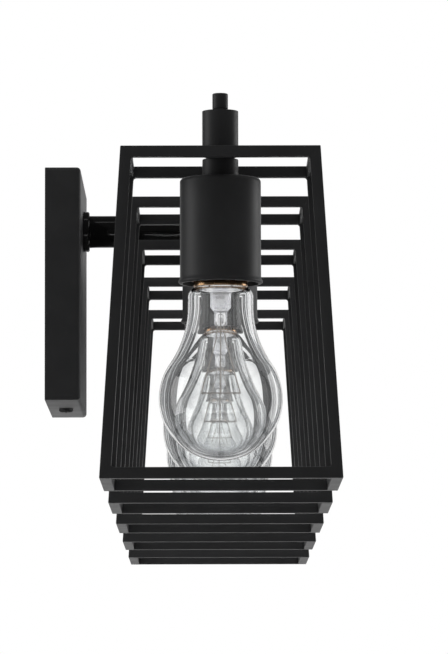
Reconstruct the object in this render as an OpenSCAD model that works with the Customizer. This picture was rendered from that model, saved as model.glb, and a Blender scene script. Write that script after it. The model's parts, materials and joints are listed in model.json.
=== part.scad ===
// Five light vanity bar: lamps in tapered open cages, hung from a rail on a square backplate.
// Millimetres, +Z up. X runs along the light, the wall is the plane Y = 0 and the room is on the -Y side.
// The origin lies on the wall at the centre of the backplate. Light 1 is at the -X end.

/* [Layout] */
// Distance between the axes of neighbouring lights
light_pitch = 198; // [140:1:240]
// Distance from the wall to the axes of the lamp columns
column_reach = 97.7; // [90:0.1:130]
// Height of the arm and rail above the centre of the backplate
arm_rise = 36.4; // [20:0.1:42]
// Gap between the top of the cages and the arm or rail above them
rail_over_cage = 0.2; // [0.2:0.1:3]

/* [Cage] */
// Height of a cage
cage_height = 161; // [152:0.5:200]
// Width of a cage at its top, from the wall side to the room side
cage_top_width = 96.5; // [80:0.5:110]
// Width of a cage at its bottom
cage_bottom_width = 116.5; // [96:0.5:140]
// Length of a cage at its top, along the light
cage_length = 83; // [78:0.5:120]
// Length of a cage at its bottom
cage_bottom_length = 100; // [84:0.5:130]
// Side of the square bar that the cages are welded from
cage_bar = 5.4; // [3:0.1:8]
// Width of the strap that carries a cage
strap_width = 14; // [12:0.5:20]
// Thickness of the strap
strap_thickness = 1.5; // [1:0.25:3]

/* [Column] */
// Diameter of a coupling, which joins the rail to a column
coupling_d = 17.7; // [16.5:0.1:22]
// Height of a coupling
coupling_height = 22.3; // [22:0.1:30]
// Diameter of a finial knob
finial_d = 7.7; // [5:0.1:12]
// Height of a finial knob
finial_height = 8.8; // [5:0.1:14]
// Diameter of a finial's stud
finial_stud_d = 4; // [3:0.5:5]
// Length of a finial's stud
finial_stud_length = 5; // [3:0.5:6]
// Diameter of the spacer collar between a cage and its socket cup
spacer_d = 17.7; // [14:0.1:22]
// Height of the spacer collar
spacer_height = 9.4; // [4:0.1:14]
// Diameter of the threaded nipples
nipple_d = 10; // [9:0.25:10.5]
// Wiring bore of the threaded nipples
nipple_bore = 7; // [6:0.25:7.5]
// Width across the flats of the nuts on the nipples
nut_flats = 14; // [13:0.5:17]
// Thickness of the nuts on the nipples
nut_thickness = 3; // [2:0.25:4]

/* [Socket] */
// Diameter of a socket cup
cup_d = 39.7; // [37:0.1:44]
// Height of a socket cup
cup_height = 51.8; // [50:0.1:60]
// Wall of a socket cup
cup_wall = 1.2; // [0.8:0.1:1.8]
// Radius of the shoulder of a socket cup
cup_round = 2; // [1.9:0.1:4]
// Width by which the rolled lip stands out from a socket cup
lip_width = 0.8; // [0.4:0.1:2]
// Height of the rolled lip
lip_height = 2; // [1.8:0.1:4]
// Gap between a lampholder and its socket cup
holder_gap = 2; // [0.5:0.1:2.6]
// Distance from a lampholder's lower end up from the mouth of its socket cup
mouth_inset = 1.8; // [0.5:0.1:4]
// Thickness of the brass screw shells
shell_wall = 0.5; // [0.3:0.1:1]
// Thickness of the contact tongue at the top of a lampholder
contact_thickness = 2; // [1:0.5:3]

/* [Bulb] */
// Largest diameter of a bulb
bulb_d = 60.4; // [50:0.2:64]
// Overall length of a bulb with its base
bulb_length = 110.6; // [105:0.1:116]
// Diameter of the neck of a bulb
neck_d = 32; // [30:0.2:34]
// Radius of the hollow curve between the neck and the ball
shoulder_curve = 50; // [35:1:60]
// Radius at the end of the neck, where the glass meets the base
neck_round = 5; // [3:0.25:6]
// Wall of the glass
glass_wall = 1.2; // [0.6:0.1:2]
// Diameter over the thread of a bulb's base
base_d = 26.4; // [25.6:0.1:26.6]
// Length of a bulb's base, from the glass to the contact
base_length = 25.6; // [24:0.1:27]
// Distance from the lower end of a lampholder down to the glass of its bulb
glass_drop = 3.4; // [1:0.1:4]
// Running gap between a bulb's base and the screw shell
bulb_gap = 0.3; // [0.2:0.05:0.5]
// Diameter of the glass stem inside a bulb
stem_d = 10.2; // [7:0.2:12]
// Length of the stem from the end of the neck to its pinch
stem_length = 11; // [10:0.1:16]
// Diameter of the pinch that holds the lead wires
pinch_d = 6.4; // [4:0.2:6.6]
// Length of the pinch
pinch_length = 8; // [5:0.5:12]
// Length of a filament
filament_length = 19; // [10:0.5:26]
// Height of the filament above the bottom of a bulb
filament_rise = 33; // [28:0.5:40]

/* [Arm and rail] */
// Diameter of the arm
arm_d = 18.4; // [16:0.1:22]
// Wall of the arm's tube
arm_wall = 1.2; // [0.8:0.1:1.8]
// Diameter of the rail's tubes
rail_d = 12.7; // [11.5:0.1:13.5]
// Wall of the rail's tubes
rail_wall = 1; // [0.6:0.1:1.2]
// Diameter of the collar where the arm meets the backplate
collar_d = 23.2; // [21:0.1:30]
// Length of that collar
collar_length = 3.5; // [2:0.25:8]

/* [Backplate] */
// Side of the square backplate
plate_side = 131; // [120:1:160]
// Depth of the backplate
plate_depth = 20; // [18:0.5:30]
// Wall of the backplate
plate_wall = 1.2; // [0.8:0.1:2]
// Radius along the front edges of the backplate
plate_round = 2.2; // [1.8:0.1:4]
// Width of the mounting bracket
bracket_width = 24; // [22:0.5:32]
// Thickness of the mounting bracket
bracket_thickness = 2; // [1.5:0.25:2.5]
// Distance between the wider pair of slots in the bracket
wide_slots = 88.9; // [86:0.1:92]
// Distance between the closer pair of slots in the bracket
close_slots = 69.85; // [67:0.05:71]
// Width of the slots
slot_width = 4.8; // [4.4:0.1:5.4]
// Length of the slots, end to end
slot_length = 7; // [6:0.1:7.4]
// Diameter of the screws that hold the backplate to the bracket
plate_screw_d = 4; // [3:0.5:5]
// Diameter of the heads of those screws
plate_screw_head = 8; // [6:0.5:10]

/* [Wiring] */
// Diameter of an insulated conductor
wire_d = 1.8; // [1.2:0.1:1.9]
// Diameter of a wire connector's open end
connector_d = 10; // [8:0.5:12]
// Length of a wire connector
connector_length = 18; // [14:0.5:24]

/* [Hidden] */
LIGHTS = 5;

$fn = 96;
// Radial gap between pieces that screw or push together
fit = 0.1;
// Extra length of a cut, so that it runs clean through a face
cut = 1;
black = "#222223";
brass = "#c9a24e";
brown = "#5a3a22";

// Heights down a column
arm_z = arm_rise;
cage_top_z = arm_z - max(arm_d, rail_d) / 2 - rail_over_cage;
spacer_top_z = cage_top_z - strap_thickness;
cup_top_z = spacer_top_z - spacer_height;
cup_bottom_z = cup_top_z - cup_height;
nut_top_z = cup_top_z - cup_wall;
holder_top_z = nut_top_z - nut_thickness;
holder_bottom_z = cup_bottom_z + mouth_inset;
coupling_top_z = cage_top_z + coupling_height;
// A nipple ends below the wires in the rail and a few threads inside the lampholder
nipple_top_z = arm_z - 3.5;
nipple_thread = 6;
nipple_bottom_z = holder_top_z - nipple_thread;
glass_top_z = holder_bottom_z - glass_drop;
bulb_top_z = glass_top_z + base_length;
bulb_bottom_z = bulb_top_z - bulb_length;
holder_ceiling_z = bulb_top_z + bulb_gap + contact_thickness;

// Sizes that follow from what a piece fits into
column_y = -column_reach;
nipple_hole = nipple_d + 2 * fit;
tube_stop = nipple_d / 2 + 0.2;
rail_hole = rail_d + 2 * fit;
holder_d = cup_d - 2 * cup_wall - 2 * holder_gap;
shell_bore = base_d + 2 * bulb_gap;
shell_d = shell_bore + 2 * shell_wall;
holder_bore = shell_d + 2 * fit;
plate_inside = plate_side - 2 * plate_wall;
arm_start_y = -plate_depth;
arm_bore = arm_d - 2 * arm_wall;
spigot_flange = 2;
spigot_plug = 6;
spigot_d = 8;
spigot_bore = 5.5;
arm_end_y = column_y + coupling_d / 2 + spigot_flange;
plug_length = 8;
screw_head_height = 2;
bracket_gap = 0.3;
ear_length = plate_depth - plate_wall - 3;
plate_screw_y = -plate_depth / 2;

function light_x(i) = (i - (LIGHTS + 1) / 2) * light_pitch;

// Puts children on the axis of light i
module at_light(i) {
    translate([light_x(i), column_y, 0]) children();
}

// A round bar along Z from one height to another
module post(d, z_low, z_high) {
    translate([0, 0, z_low]) cylinder(d = d, h = z_high - z_low);
}

// A round bar along Y from one place to another, at the arm's height
module bar_y(d, y_low, y_high) {
    translate([0, y_low, arm_z]) rotate([-90, 0, 0]) cylinder(d = d, h = y_high - y_low);
}

// Cage: leaning corner legs between a top and a bottom frame, and the strap that carries it
width_taper = (cage_bottom_width - cage_top_width) / 2 / cage_height;
length_taper = (cage_bottom_length - cage_length) / 2 / cage_height;
function half_width(drop) = cage_top_width / 2 + width_taper * drop;
function half_length(drop) = cage_length / 2 + length_taper * drop;
// How far a leaning bar reaches in from its outer face, measured level
function level_bar(lean) = cage_bar / cos(atan(lean));

// Flat outline that widens evenly from one drop to another
module tapered(half_high, half_low, high, low) {
    polygon([[-half_high, -high], [half_high, -high], [half_low, -low], [-half_low, -low]]);
}

// The cage's outline stretched right through it, seen from the end of the light
through = 2 * (cage_length + cage_bottom_length + cage_top_width + cage_bottom_width);
module seen_from_end(inset, high, low) {
    translate([-through / 2, 0, cage_top_z]) rotate([90, 0, 90]) linear_extrude(through)
        tapered(half_width(high) - inset, half_width(low) - inset, high, low);
}

// The same, seen from the side of the light
module seen_from_side(inset, high, low) {
    translate([0, through / 2, cage_top_z]) rotate([90, 0, 0]) linear_extrude(through)
        tapered(half_length(high) - inset, half_length(low) - inset, high, low);
}

module cage(i) {
    strap_length = cage_length - cage_bar;
    color(black) at_light(i) difference() {
        union() {
            difference() {
                intersection() {
                    seen_from_end(0, 0, cage_height);
                    seen_from_side(0, 0, cage_height);
                }
                intersection() {
                    seen_from_end(level_bar(width_taper), -cut, cage_height + cut);
                    seen_from_side(level_bar(length_taper), -cut, cage_height + cut);
                }
                intersection() {
                    union() {
                        seen_from_end(level_bar(width_taper), -cut, cage_height + cut);
                        seen_from_side(level_bar(length_taper), -cut, cage_height + cut);
                    }
                    translate([-through / 2, -through / 2, cage_top_z - cage_height + cage_bar])
                        cube([through, through, cage_height - 2 * cage_bar]);
                }
            }
            translate([-strap_length / 2, -strap_width / 2, spacer_top_z])
                cube([strap_length, strap_width, strap_thickness]);
        }
        post(nipple_hole, spacer_top_z - cut, cage_top_z + cut);
    }
}

// Coupling: takes the ends of the rail's tubes at its sides, a finial on top and a nipple below
module coupling(i) {
    color(black) at_light(i) difference() {
        post(coupling_d, cage_top_z, coupling_top_z);
        post(nipple_hole, cage_top_z - cut, wire_high + wire_d);
        post(finial_stud_d + 2 * fit, coupling_top_z - finial_stud_length - fit, coupling_top_z + cut);
        if (i < LIGHTS) rail_bore(1);
        if (i > 1) rail_bore(-1);
        if (light_x(i) == 0) translate([0, 0, arm_z]) rotate([-90, 0, 0])
            cylinder(d = spigot_d + 2 * fit, h = coupling_d);
    }
}

module rail_bore(side) {
    translate([0, 0, arm_z]) rotate([0, side * 90, 0]) cylinder(d = rail_hole, h = coupling_d);
}

module rail_tube(i) {
    start = light_x(i) + tube_stop;
    length = light_pitch - 2 * tube_stop;
    color(black) translate([start, column_y, arm_z]) rotate([0, 90, 0]) difference() {
        cylinder(d = rail_d, h = length);
        translate([0, 0, -cut]) cylinder(d = rail_d - 2 * rail_wall, h = length + 2 * cut);
    }
}

module finial_screws() {
    edge = 0.5;
    color(black) for (i = [1:LIGHTS]) at_light(i) {
        translate([0, 0, coupling_top_z]) rotate_extrude() polygon([
            [0, 0], [finial_d / 2, 0], [finial_d / 2, finial_height - edge],
            [finial_d / 2 - edge, finial_height], [0, finial_height]
        ]);
        post(finial_stud_d, coupling_top_z - finial_stud_length, coupling_top_z + edge);
    }
}

module spacer_collars() {
    color(black) for (i = [1:LIGHTS]) at_light(i) difference() {
        post(spacer_d, cup_top_z, spacer_top_z);
        post(nipple_hole, cup_top_z - cut, spacer_top_z + cut);
    }
}

module threaded_nipples() {
    color("silver") for (i = [1:LIGHTS]) at_light(i) difference() {
        post(nipple_d, nipple_bottom_z, nipple_top_z);
        post(nipple_bore, nipple_bottom_z - cut, nipple_top_z + cut);
    }
}

module nut() {
    difference() {
        cylinder(d = nut_flats / cos(30), h = nut_thickness, $fn = 6);
        translate([0, 0, -cut]) cylinder(d = nipple_hole, h = nut_thickness + 2 * cut);
    }
}

module nipple_nuts() {
    color("silver") for (i = [1:LIGHTS]) at_light(i) translate([0, 0, holder_top_z]) nut();
}

// Socket cup: a deep drawn cup, closed at the top, with a rounded shoulder and a rolled lip
module cup_section(inset) {
    r = cup_d / 2 - inset;
    round = cup_round - inset;
    top = cup_top_z - inset;
    translate([0, cup_bottom_z]) square([r, top - round - cup_bottom_z]);
    translate([0, cup_bottom_z]) square([r - round, top - cup_bottom_z]);
    translate([r - round, top - round]) intersection() {
        circle(r = round);
        square(round);
    }
}

module socket_cup(i) {
    lip_r = lip_height / 2;
    color(black) at_light(i) difference() {
        union() {
            rotate_extrude() cup_section(0);
            rotate_extrude() difference() {
                union() {
                    translate([cup_d / 2 + lip_width - lip_r, cup_bottom_z + lip_r]) circle(r = lip_r);
                    translate([cup_d / 2 - cup_wall, cup_bottom_z])
                        square([cup_wall + lip_width - lip_r, lip_height]);
                }
                translate([0, cup_bottom_z]) square([cup_d / 2 - cup_wall, lip_height]);
            }
        }
        rotate_extrude() cup_section(cup_wall);
        post(cup_d - 2 * cup_wall, cup_bottom_z - cut, cup_bottom_z + cut);
        post(nipple_hole, nut_top_z - cut, cup_top_z + cut);
    }
}

// Lampholder: an insulating body with a threaded top, a wiring hole and a bore for its screw shell
module lampholder(i) {
    wiring_depth = 5;
    color(brown) at_light(i) difference() {
        post(holder_d, holder_bottom_z, holder_top_z);
        post(holder_bore, holder_bottom_z - cut, holder_ceiling_z);
        post(nipple_hole, nipple_bottom_z, holder_top_z + cut);
        post(nipple_bore, nipple_bottom_z - wiring_depth, holder_top_z);
    }
}

module screw_shells() {
    clear = 4;
    color(brass) for (i = [1:LIGHTS]) at_light(i) difference() {
        post(shell_d, holder_bottom_z, bulb_top_z - clear);
        post(shell_bore, holder_bottom_z - cut, bulb_top_z);
    }
}

module contact_tongues() {
    tongue = [16, 6, contact_thickness];
    color(brass) for (i = [1:LIGHTS]) at_light(i)
        translate([-tongue.x / 2, -tongue.y / 2, bulb_top_z + bulb_gap]) cube(tongue);
}

// Bulb: a ball, a hollow shoulder and a straight neck, all tangent to each other
ball_r = bulb_d / 2;
ball_z = bulb_bottom_z + ball_r;
curve_x = neck_d / 2 + shoulder_curve;
neck_z = ball_z + sqrt(pow(ball_r + shoulder_curve, 2) - pow(curve_x, 2));

module glass_section(inset) {
    tangent_x = (ball_r - inset) * curve_x / (ball_r + shoulder_curve);
    end_z = glass_top_z + 0.4 - neck_round;
    intersection() {
        translate([0, bulb_bottom_z]) square([ball_r, glass_top_z - bulb_bottom_z]);
        union() {
            translate([0, ball_z]) circle(r = ball_r - inset);
            difference() {
                translate([0, ball_z]) square([tangent_x, neck_z - ball_z]);
                translate([curve_x, neck_z]) circle(r = shoulder_curve + inset);
            }
            translate([0, ball_z]) square([neck_d / 2 - inset, end_z - ball_z]);
            translate([0, ball_z]) square([neck_d / 2 - neck_round, glass_top_z - ball_z]);
            translate([neck_d / 2 - neck_round, end_z]) circle(r = neck_round - inset);
        }
    }
}

module bulb_glass(i) {
    color("lightblue", 0.3) at_light(i) rotate_extrude() difference() {
        glass_section(0);
        glass_section(glass_wall);
    }
}

// Base: a rolled thread, an insulating cone and a contact button, on a hollow shell
thread_pitch = 3.6;
thread_depth = 0.8;
thread_start = 2.2;
thread_turns = 4;
contact_d = 9.6;
base_r = base_d / 2;
function thread_r(z) = base_r - thread_depth / 2 * (1 - cos(360 * (z - thread_start) / thread_pitch));

module bulb_base(i) {
    steps = 8;
    wall = 0.5;
    cone_z = thread_start + thread_turns * thread_pitch;
    cone_top = base_length - 2;
    thread = [for (k = [0:thread_turns * steps]) let (z = thread_start + k * thread_pitch / steps) [thread_r(z), z]];
    cone = [[base_r - thread_depth, cone_z + thread_pitch / 4], [contact_d / 2 + 1, cone_top]];
    button = [[contact_d / 2, cone_top], [contact_d / 2, base_length - 0.5], [contact_d / 2 - 1, base_length]];
    inside_r = base_r - thread_depth - wall;
    color(brass) at_light(i) translate([0, 0, glass_top_z]) rotate_extrude() polygon(concat(
        [[inside_r, 0], [base_r, 0]], thread, cone, button, [[0, base_length], [0, cone_z], [inside_r, cone_z]]
    ));
}

// Mount: the flared glass stem with its lead wires, support and filament
module bulb_mount(i) {
    flare_r = neck_d / 2 - neck_round - fit;
    flare_depth = 2.5;
    stem_bottom = glass_top_z - stem_length;
    pinch_bottom = stem_bottom - pinch_length;
    edge = 1;
    filament_z = bulb_bottom_z + filament_rise;
    lead_d = 0.8;
    filament_d = 1.4;
    reach = filament_length / 2;
    color("gainsboro") at_light(i) {
        rotate_extrude() polygon([
            [0, glass_top_z], [flare_r, glass_top_z], [flare_r, glass_top_z - edge],
            [stem_d / 2, glass_top_z - flare_depth], [stem_d / 2, stem_bottom + edge],
            [pinch_d / 2, stem_bottom - edge], [pinch_d / 2, pinch_bottom],
            [lead_d / 2, pinch_bottom], [lead_d / 2, filament_z], [0, filament_z]
        ]);
        for (side = [0, 1]) mirror([0, side, 0])
            lead([0, pinch_d / 4, pinch_bottom + edge], [0, reach, filament_z], lead_d);
        translate([0, -reach, filament_z]) rotate([-90, 0, 0]) cylinder(d = filament_d, h = filament_length);
    }
}

// A straight round wire between two points that both lie in the plane X = constant or Y = constant
module straight(a, b, d) {
    run = b - a;
    turn = atan2(run.y, run.x);
    translate(a) rotate([0, acos(run.z / norm(run)), turn]) cylinder(d = d, h = norm(run));
}

// A straight wire with round ends
module lead(a, b, d) {
    straight(a, b, d);
    translate(b) sphere(d = d);
    translate(a) sphere(d = d);
}

// An insulated wire that runs through a list of points, a little thicker where it bends
module wire(points) {
    for (k = [0:len(points) - 2]) straight(points[k], points[k + 1], wire_d);
    for (point = points) translate(point) sphere(d = 1.02 * wire_d);
}

// Each conductor runs along the rail, down every column and back through the arm to its connector
wire_high = arm_z + 2;
wire_side = 1.5;
wire_low = nipple_bottom_z - 4;
connector_x = 26;
connector_y = -plate_depth / 2;
connector_z = -6;
connector_grip = 8;

module conductor(side) {
    along_y = column_y + side * (wire_d / 2 + fit);
    x = side * wire_side;
    union() {
        wire([[light_x(1) + x, along_y, wire_high], [light_x(LIGHTS) + x, along_y, wire_high]]);
        for (i = [1:LIGHTS]) wire([[light_x(i) + x, along_y, wire_high], [light_x(i) + x, along_y, wire_low]]);
        wire([
            [x, along_y, arm_z], [x, connector_y, arm_z],
            [side * connector_x, connector_y, arm_z - 12], [side * connector_x, connector_y, connector_z]
        ]);
    }
}

module hot_wires() {
    color("#1a1a1a") conductor(1);
}

module neutral_wires() {
    color("ivory") conductor(-1);
}

// Ground: a screw in the bracket, its wire and that wire's connector
ground_x = -6.5;
ground_z = -18;
ground_screw_d = 4;
ground_head_d = 8;
ground_head = 2.5;
ground_connector = [12, -34];

module ground_screw() {
    color("green") translate([ground_x, 0, ground_z]) rotate([90, 0, 0]) {
        cylinder(d = ground_screw_d, h = bracket_thickness);
        translate([0, 0, bracket_thickness]) cylinder(d = ground_head_d, h = ground_head);
    }
}

module ground_wire() {
    level = -bracket_thickness - ground_head / 2;
    start = [ground_x + (ground_head_d + wire_d) / 2 + fit, level, ground_z];
    end = [ground_connector.x, connector_y, ground_connector.y];
    color("green") union() wire([start, [start.x, connector_y, ground_z], [end.x, connector_y, ground_z], end]);
}

module wire_connectors() {
    tip_share = 0.65;
    bore_z = connector_length - connector_grip - wire_d / 2 - fit;
    places = [[-connector_x, connector_z], [connector_x, connector_z], ground_connector];
    color("orange") for (place = places)
        translate([place.x, connector_y, place.y - connector_length + connector_grip]) difference() {
            cylinder(d1 = connector_d * tip_share, d2 = connector_d, h = connector_length);
            translate([0, 0, bore_z]) cylinder(d = wire_d + 2 * fit, h = connector_length - bore_z + cut);
        }
}

// Arm: a tube from the backplate to the middle coupling, with a plug behind and a spigot in front
module arm_tube() {
    color(black) difference() {
        bar_y(arm_d, arm_end_y, arm_start_y);
        bar_y(arm_bore, arm_end_y - cut, arm_start_y + cut);
    }
}

module arm_collar() {
    edge = 1;
    r = collar_d / 2;
    color(black) translate([0, arm_start_y, arm_z]) rotate([90, 0, 0]) rotate_extrude() difference() {
        union() {
            square([r, collar_length - edge]);
            square([r - edge, collar_length]);
            translate([r - edge, collar_length - edge]) circle(r = edge);
        }
        translate([0, -cut]) square([arm_d / 2 + fit, collar_length + 2 * cut]);
    }
}

module arm_end_plug() {
    color("silver") difference() {
        bar_y(arm_bore - 2 * fit, arm_start_y - plug_length, arm_start_y);
        bar_y(nipple_hole, arm_start_y - plug_length - cut, arm_start_y + cut);
    }
}

module arm_nipple() {
    inner_y = arm_start_y + plate_wall + nut_thickness + 1.5;
    color("silver") difference() {
        bar_y(nipple_d, arm_start_y - plug_length, inner_y);
        bar_y(nipple_bore, arm_start_y - plug_length - cut, inner_y + cut);
    }
}

module arm_locknut() {
    color("silver") translate([0, arm_start_y + plate_wall, arm_z]) rotate([-90, 0, 0]) nut();
}

module arm_spigot() {
    plug_y = arm_end_y + spigot_plug;
    color(black) difference() {
        union() {
            bar_y(arm_bore - 2 * fit, arm_end_y, plug_y);
            bar_y(arm_d, arm_end_y - spigot_flange, arm_end_y);
            bar_y(spigot_d, column_y + tube_stop, arm_end_y);
        }
        bar_y(spigot_bore, column_y, plug_y + cut);
    }
}

// Backplate: a square pan with rounded front edges, open towards the wall
module rounded_profile(width, depth, r) {
    translate([-width / 2, 0]) square([width, depth - r]);
    translate([-width / 2 + r, 0]) square([width - 2 * r, depth]);
    for (side = [-1, 1]) translate([side * (width / 2 - r), depth - r]) circle(r = r);
}

module rounded_pan(width, depth, r) {
    intersection() {
        translate([0, 0, -width / 2]) mirror([0, 1, 0]) linear_extrude(width) rounded_profile(width, depth, r);
        translate([-width / 2, 0, 0]) rotate([90, 0, 90]) mirror([1, 0, 0]) linear_extrude(width)
            rotate([0, 0, -90]) rounded_profile(width, depth, r);
        rotate([90, 0, 0]) linear_extrude(depth) for (x = [-1, 1], z = [-1, 1]) {
            translate([x * (width / 2 - r), z * (width / 2 - r)]) circle(r = r);
            square([width, width - 2 * r], center = true);
            square([width - 2 * r, width], center = true);
        }
    }
}

module backplate() {
    color(black) difference() {
        rounded_pan(plate_side, plate_depth, plate_round);
        translate([0, cut, 0]) rounded_pan(plate_inside, plate_depth - plate_wall + cut, plate_round - plate_wall);
        bar_y(nipple_hole, arm_start_y - cut, arm_start_y + plate_wall + cut);
        translate([0, plate_screw_y, -plate_side]) cylinder(d = plate_screw_d + 2 * fit, h = 2 * plate_side);
    }
}

// Bracket: a strip against the wall with an ear folded forward at each end
module slot(z) {
    length = slot_length - slot_width;
    translate([0, cut, z]) rotate([90, 0, 0]) {
        for (end = [-1, 1]) translate([0, end * length / 2, 0])
            cylinder(d = slot_width, h = bracket_thickness + 2 * cut);
        translate([-slot_width / 2, -length / 2, 0]) cube([slot_width, length, bracket_thickness + 2 * cut]);
    }
}

module mounting_bracket() {
    height = plate_inside - 2 * bracket_gap;
    color("silver") difference() {
        union() {
            translate([-bracket_width / 2, -bracket_thickness, -height / 2])
                cube([bracket_width, bracket_thickness, height]);
            for (end = [-1, 1])
                translate([-bracket_width / 2, -ear_length, end * (height - bracket_thickness) / 2 - bracket_thickness / 2])
                    cube([bracket_width, ear_length, bracket_thickness]);
        }
        for (side = [-1, 1], spacing = [wide_slots, close_slots]) slot(side * spacing / 2);
        translate([0, cut, 0]) rotate([90, 0, 0]) cylinder(d = nipple_hole, h = bracket_thickness + 2 * cut);
        translate([ground_x, cut, ground_z]) rotate([90, 0, 0])
            cylinder(d = ground_screw_d + 2 * fit, h = bracket_thickness + 2 * cut);
        translate([0, plate_screw_y, -height]) cylinder(d = plate_screw_d + 2 * fit, h = 2 * height);
    }
}

module backplate_screws() {
    reach = plate_wall + bracket_gap + bracket_thickness + 1.5;
    edge = 0.6;
    color(black) for (turn = [0, 180]) translate([0, plate_screw_y, 0]) rotate([turn, 0, 0]) {
        post(plate_screw_d, plate_side / 2 - reach, plate_side / 2 + edge);
        translate([0, 0, plate_side / 2]) rotate_extrude() polygon([
            [0, 0], [plate_screw_head / 2, 0], [plate_screw_head / 2, screw_head_height - edge],
            [plate_screw_head / 2 - edge, screw_head_height], [0, screw_head_height]
        ]);
    }
}

backplate();
mounting_bracket();
backplate_screws();
ground_screw();
arm_tube();
arm_collar();
arm_end_plug();
arm_nipple();
arm_locknut();
arm_spigot();
hot_wires();
neutral_wires();
ground_wire();
wire_connectors();
finial_screws();
spacer_collars();
threaded_nipples();
nipple_nuts();
screw_shells();
contact_tongues();
for (i = [1:LIGHTS - 1]) rail_tube(i);
for (i = [1:LIGHTS]) cage(i);
for (i = [1:LIGHTS]) coupling(i);
for (i = [1:LIGHTS]) socket_cup(i);
for (i = [1:LIGHTS]) lampholder(i);
for (i = [1:LIGHTS]) bulb_glass(i);
for (i = [1:LIGHTS]) bulb_base(i);
for (i = [1:LIGHTS]) bulb_mount(i);
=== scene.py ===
"""Five-light vanity bar: its pieces and finishes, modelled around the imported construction."""

import json
import math
from functools import cache

import bpy
from bpy.props import FloatProperty, FloatVectorProperty, IntProperty, PointerProperty
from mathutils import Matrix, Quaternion, Vector


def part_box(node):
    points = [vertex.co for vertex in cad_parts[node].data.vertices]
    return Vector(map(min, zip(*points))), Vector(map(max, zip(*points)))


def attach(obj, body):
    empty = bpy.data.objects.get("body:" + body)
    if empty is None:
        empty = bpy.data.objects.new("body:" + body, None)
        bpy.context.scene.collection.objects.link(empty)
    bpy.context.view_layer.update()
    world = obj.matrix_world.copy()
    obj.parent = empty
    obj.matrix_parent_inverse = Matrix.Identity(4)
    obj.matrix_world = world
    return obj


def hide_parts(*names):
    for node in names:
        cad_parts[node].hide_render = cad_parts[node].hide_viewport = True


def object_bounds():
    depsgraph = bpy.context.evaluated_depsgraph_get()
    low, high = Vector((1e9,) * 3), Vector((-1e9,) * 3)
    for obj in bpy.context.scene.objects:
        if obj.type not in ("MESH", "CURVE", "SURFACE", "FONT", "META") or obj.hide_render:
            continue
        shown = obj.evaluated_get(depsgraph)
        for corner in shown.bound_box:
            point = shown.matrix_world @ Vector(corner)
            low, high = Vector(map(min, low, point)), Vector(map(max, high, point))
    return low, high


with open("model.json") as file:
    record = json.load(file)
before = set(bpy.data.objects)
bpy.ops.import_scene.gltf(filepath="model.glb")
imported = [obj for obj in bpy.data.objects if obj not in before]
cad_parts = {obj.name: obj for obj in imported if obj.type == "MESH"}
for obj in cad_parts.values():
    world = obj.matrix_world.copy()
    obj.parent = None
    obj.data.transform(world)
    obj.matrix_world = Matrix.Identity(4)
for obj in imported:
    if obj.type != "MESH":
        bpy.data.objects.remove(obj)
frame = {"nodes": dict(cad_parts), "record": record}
CAD_BOX = [list(corner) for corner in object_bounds()]

bl_info = {
    "name": "Five-light vanity bar",
    "version": (1, 0, 0),
    "blender": (4, 5, 0),
    "location": "View3D > Sidebar > Vanity light",
    "description": "Models the pieces, finishes and studio of a five-light vanity bar",
    "category": "Add Mesh",
}

MM = 0.001
FULL_TURN = math.tau
CLEARANCE = 0.1 * MM  # between a piece and the hole that it sits in
LYING = (math.pi / 2, 0, 0)  # turns an upright rod to lie along Y
LIGHTS = range(1, 1 + sum(name.startswith("socket_cup_") for name in frame["nodes"]))


def middle(node):
    """The centre of a CAD node's box."""
    low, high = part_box(node)
    return (low + high) / 2


def span(node, axis):
    """Where a CAD node begins and ends along an axis."""
    low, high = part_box(node)
    return getattr(low, axis), getattr(high, axis)


def half_size(node, axis):
    """Half the size of a CAD node along an axis."""
    low, high = span(node, axis)
    return (high - low) / 2


def nipple_hole():
    """The radius of a hole that a threaded nipple goes through."""
    return half_size("threaded_nipples", "y") + CLEARANCE


def column(light):
    """The axis of a light's column, as (x, y)."""
    return middle(f"socket_cup_{light}").xy


FIRST = (*column(LIGHTS[0]), 0)  # the foot of the first light's axis


# Settings


def length(name, description, default, low=0.0, high=1.0):
    """A length in metres that a user may change."""
    return FloatProperty(
        name=name, description=description, default=default, min=low, max=high,
        unit="LENGTH", precision=5,
    )


def colour(name, description, default):
    """A linear colour that a user may change."""
    return FloatVectorProperty(
        name=name, description=description, default=default, min=0.0, max=1.0,
        subtype="COLOR", size=3,
    )


def angle(name, description, default):
    """An angle that a user may change."""
    return FloatProperty(name=name, description=description, default=default, subtype="ANGLE")


class CageSettings(bpy.types.PropertyGroup):
    """Sizes of the tapered open cages."""

    top_width: length("Top width", "Width of a cage at its top", 96.5 * MM)
    top_length: length("Top length", "Length of a cage at its top", 83 * MM)
    bar: length("Bar", "Side of the square bar", 5.4 * MM)
    corner: length("Window corner", "Radius in the inner corners of the end frames", 1.25 * MM)
    edge: length("Edge round", "Rounding of the bars' edges", 0.35 * MM)
    strap_width: length("Strap width", "Width of the carrying strap", 14 * MM)
    strap_thickness: length("Strap thickness", "Thickness of the carrying strap", 1.5 * MM)


class ColumnSettings(bpy.types.PropertyGroup):
    """Sizes of the couplings, knobs and socket cups."""

    edge: length("Edge round", "Rounding of turned edges", 0.4 * MM)
    knob_foot: length("Knob foot", "Height of the ring at the foot of a knob", 0.9 * MM)
    cup_wall: length("Cup wall", "Wall of a socket cup", 1.2 * MM)
    cup_round: length("Cup shoulder", "Radius of the shoulder of a socket cup", 2 * MM)
    lip_width: length("Lip width", "Width by which the rolled lip stands out", 0.8 * MM)
    lip_height: length("Lip height", "Height of the rolled lip", 2 * MM)
    thread_pitch: length("Lamp thread pitch", "Pitch of the lamp thread", 3.6 * MM)
    shell_roll: length("Shell roll", "Depth of the thread rolled into a screw shell", 0.22 * MM)


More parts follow.
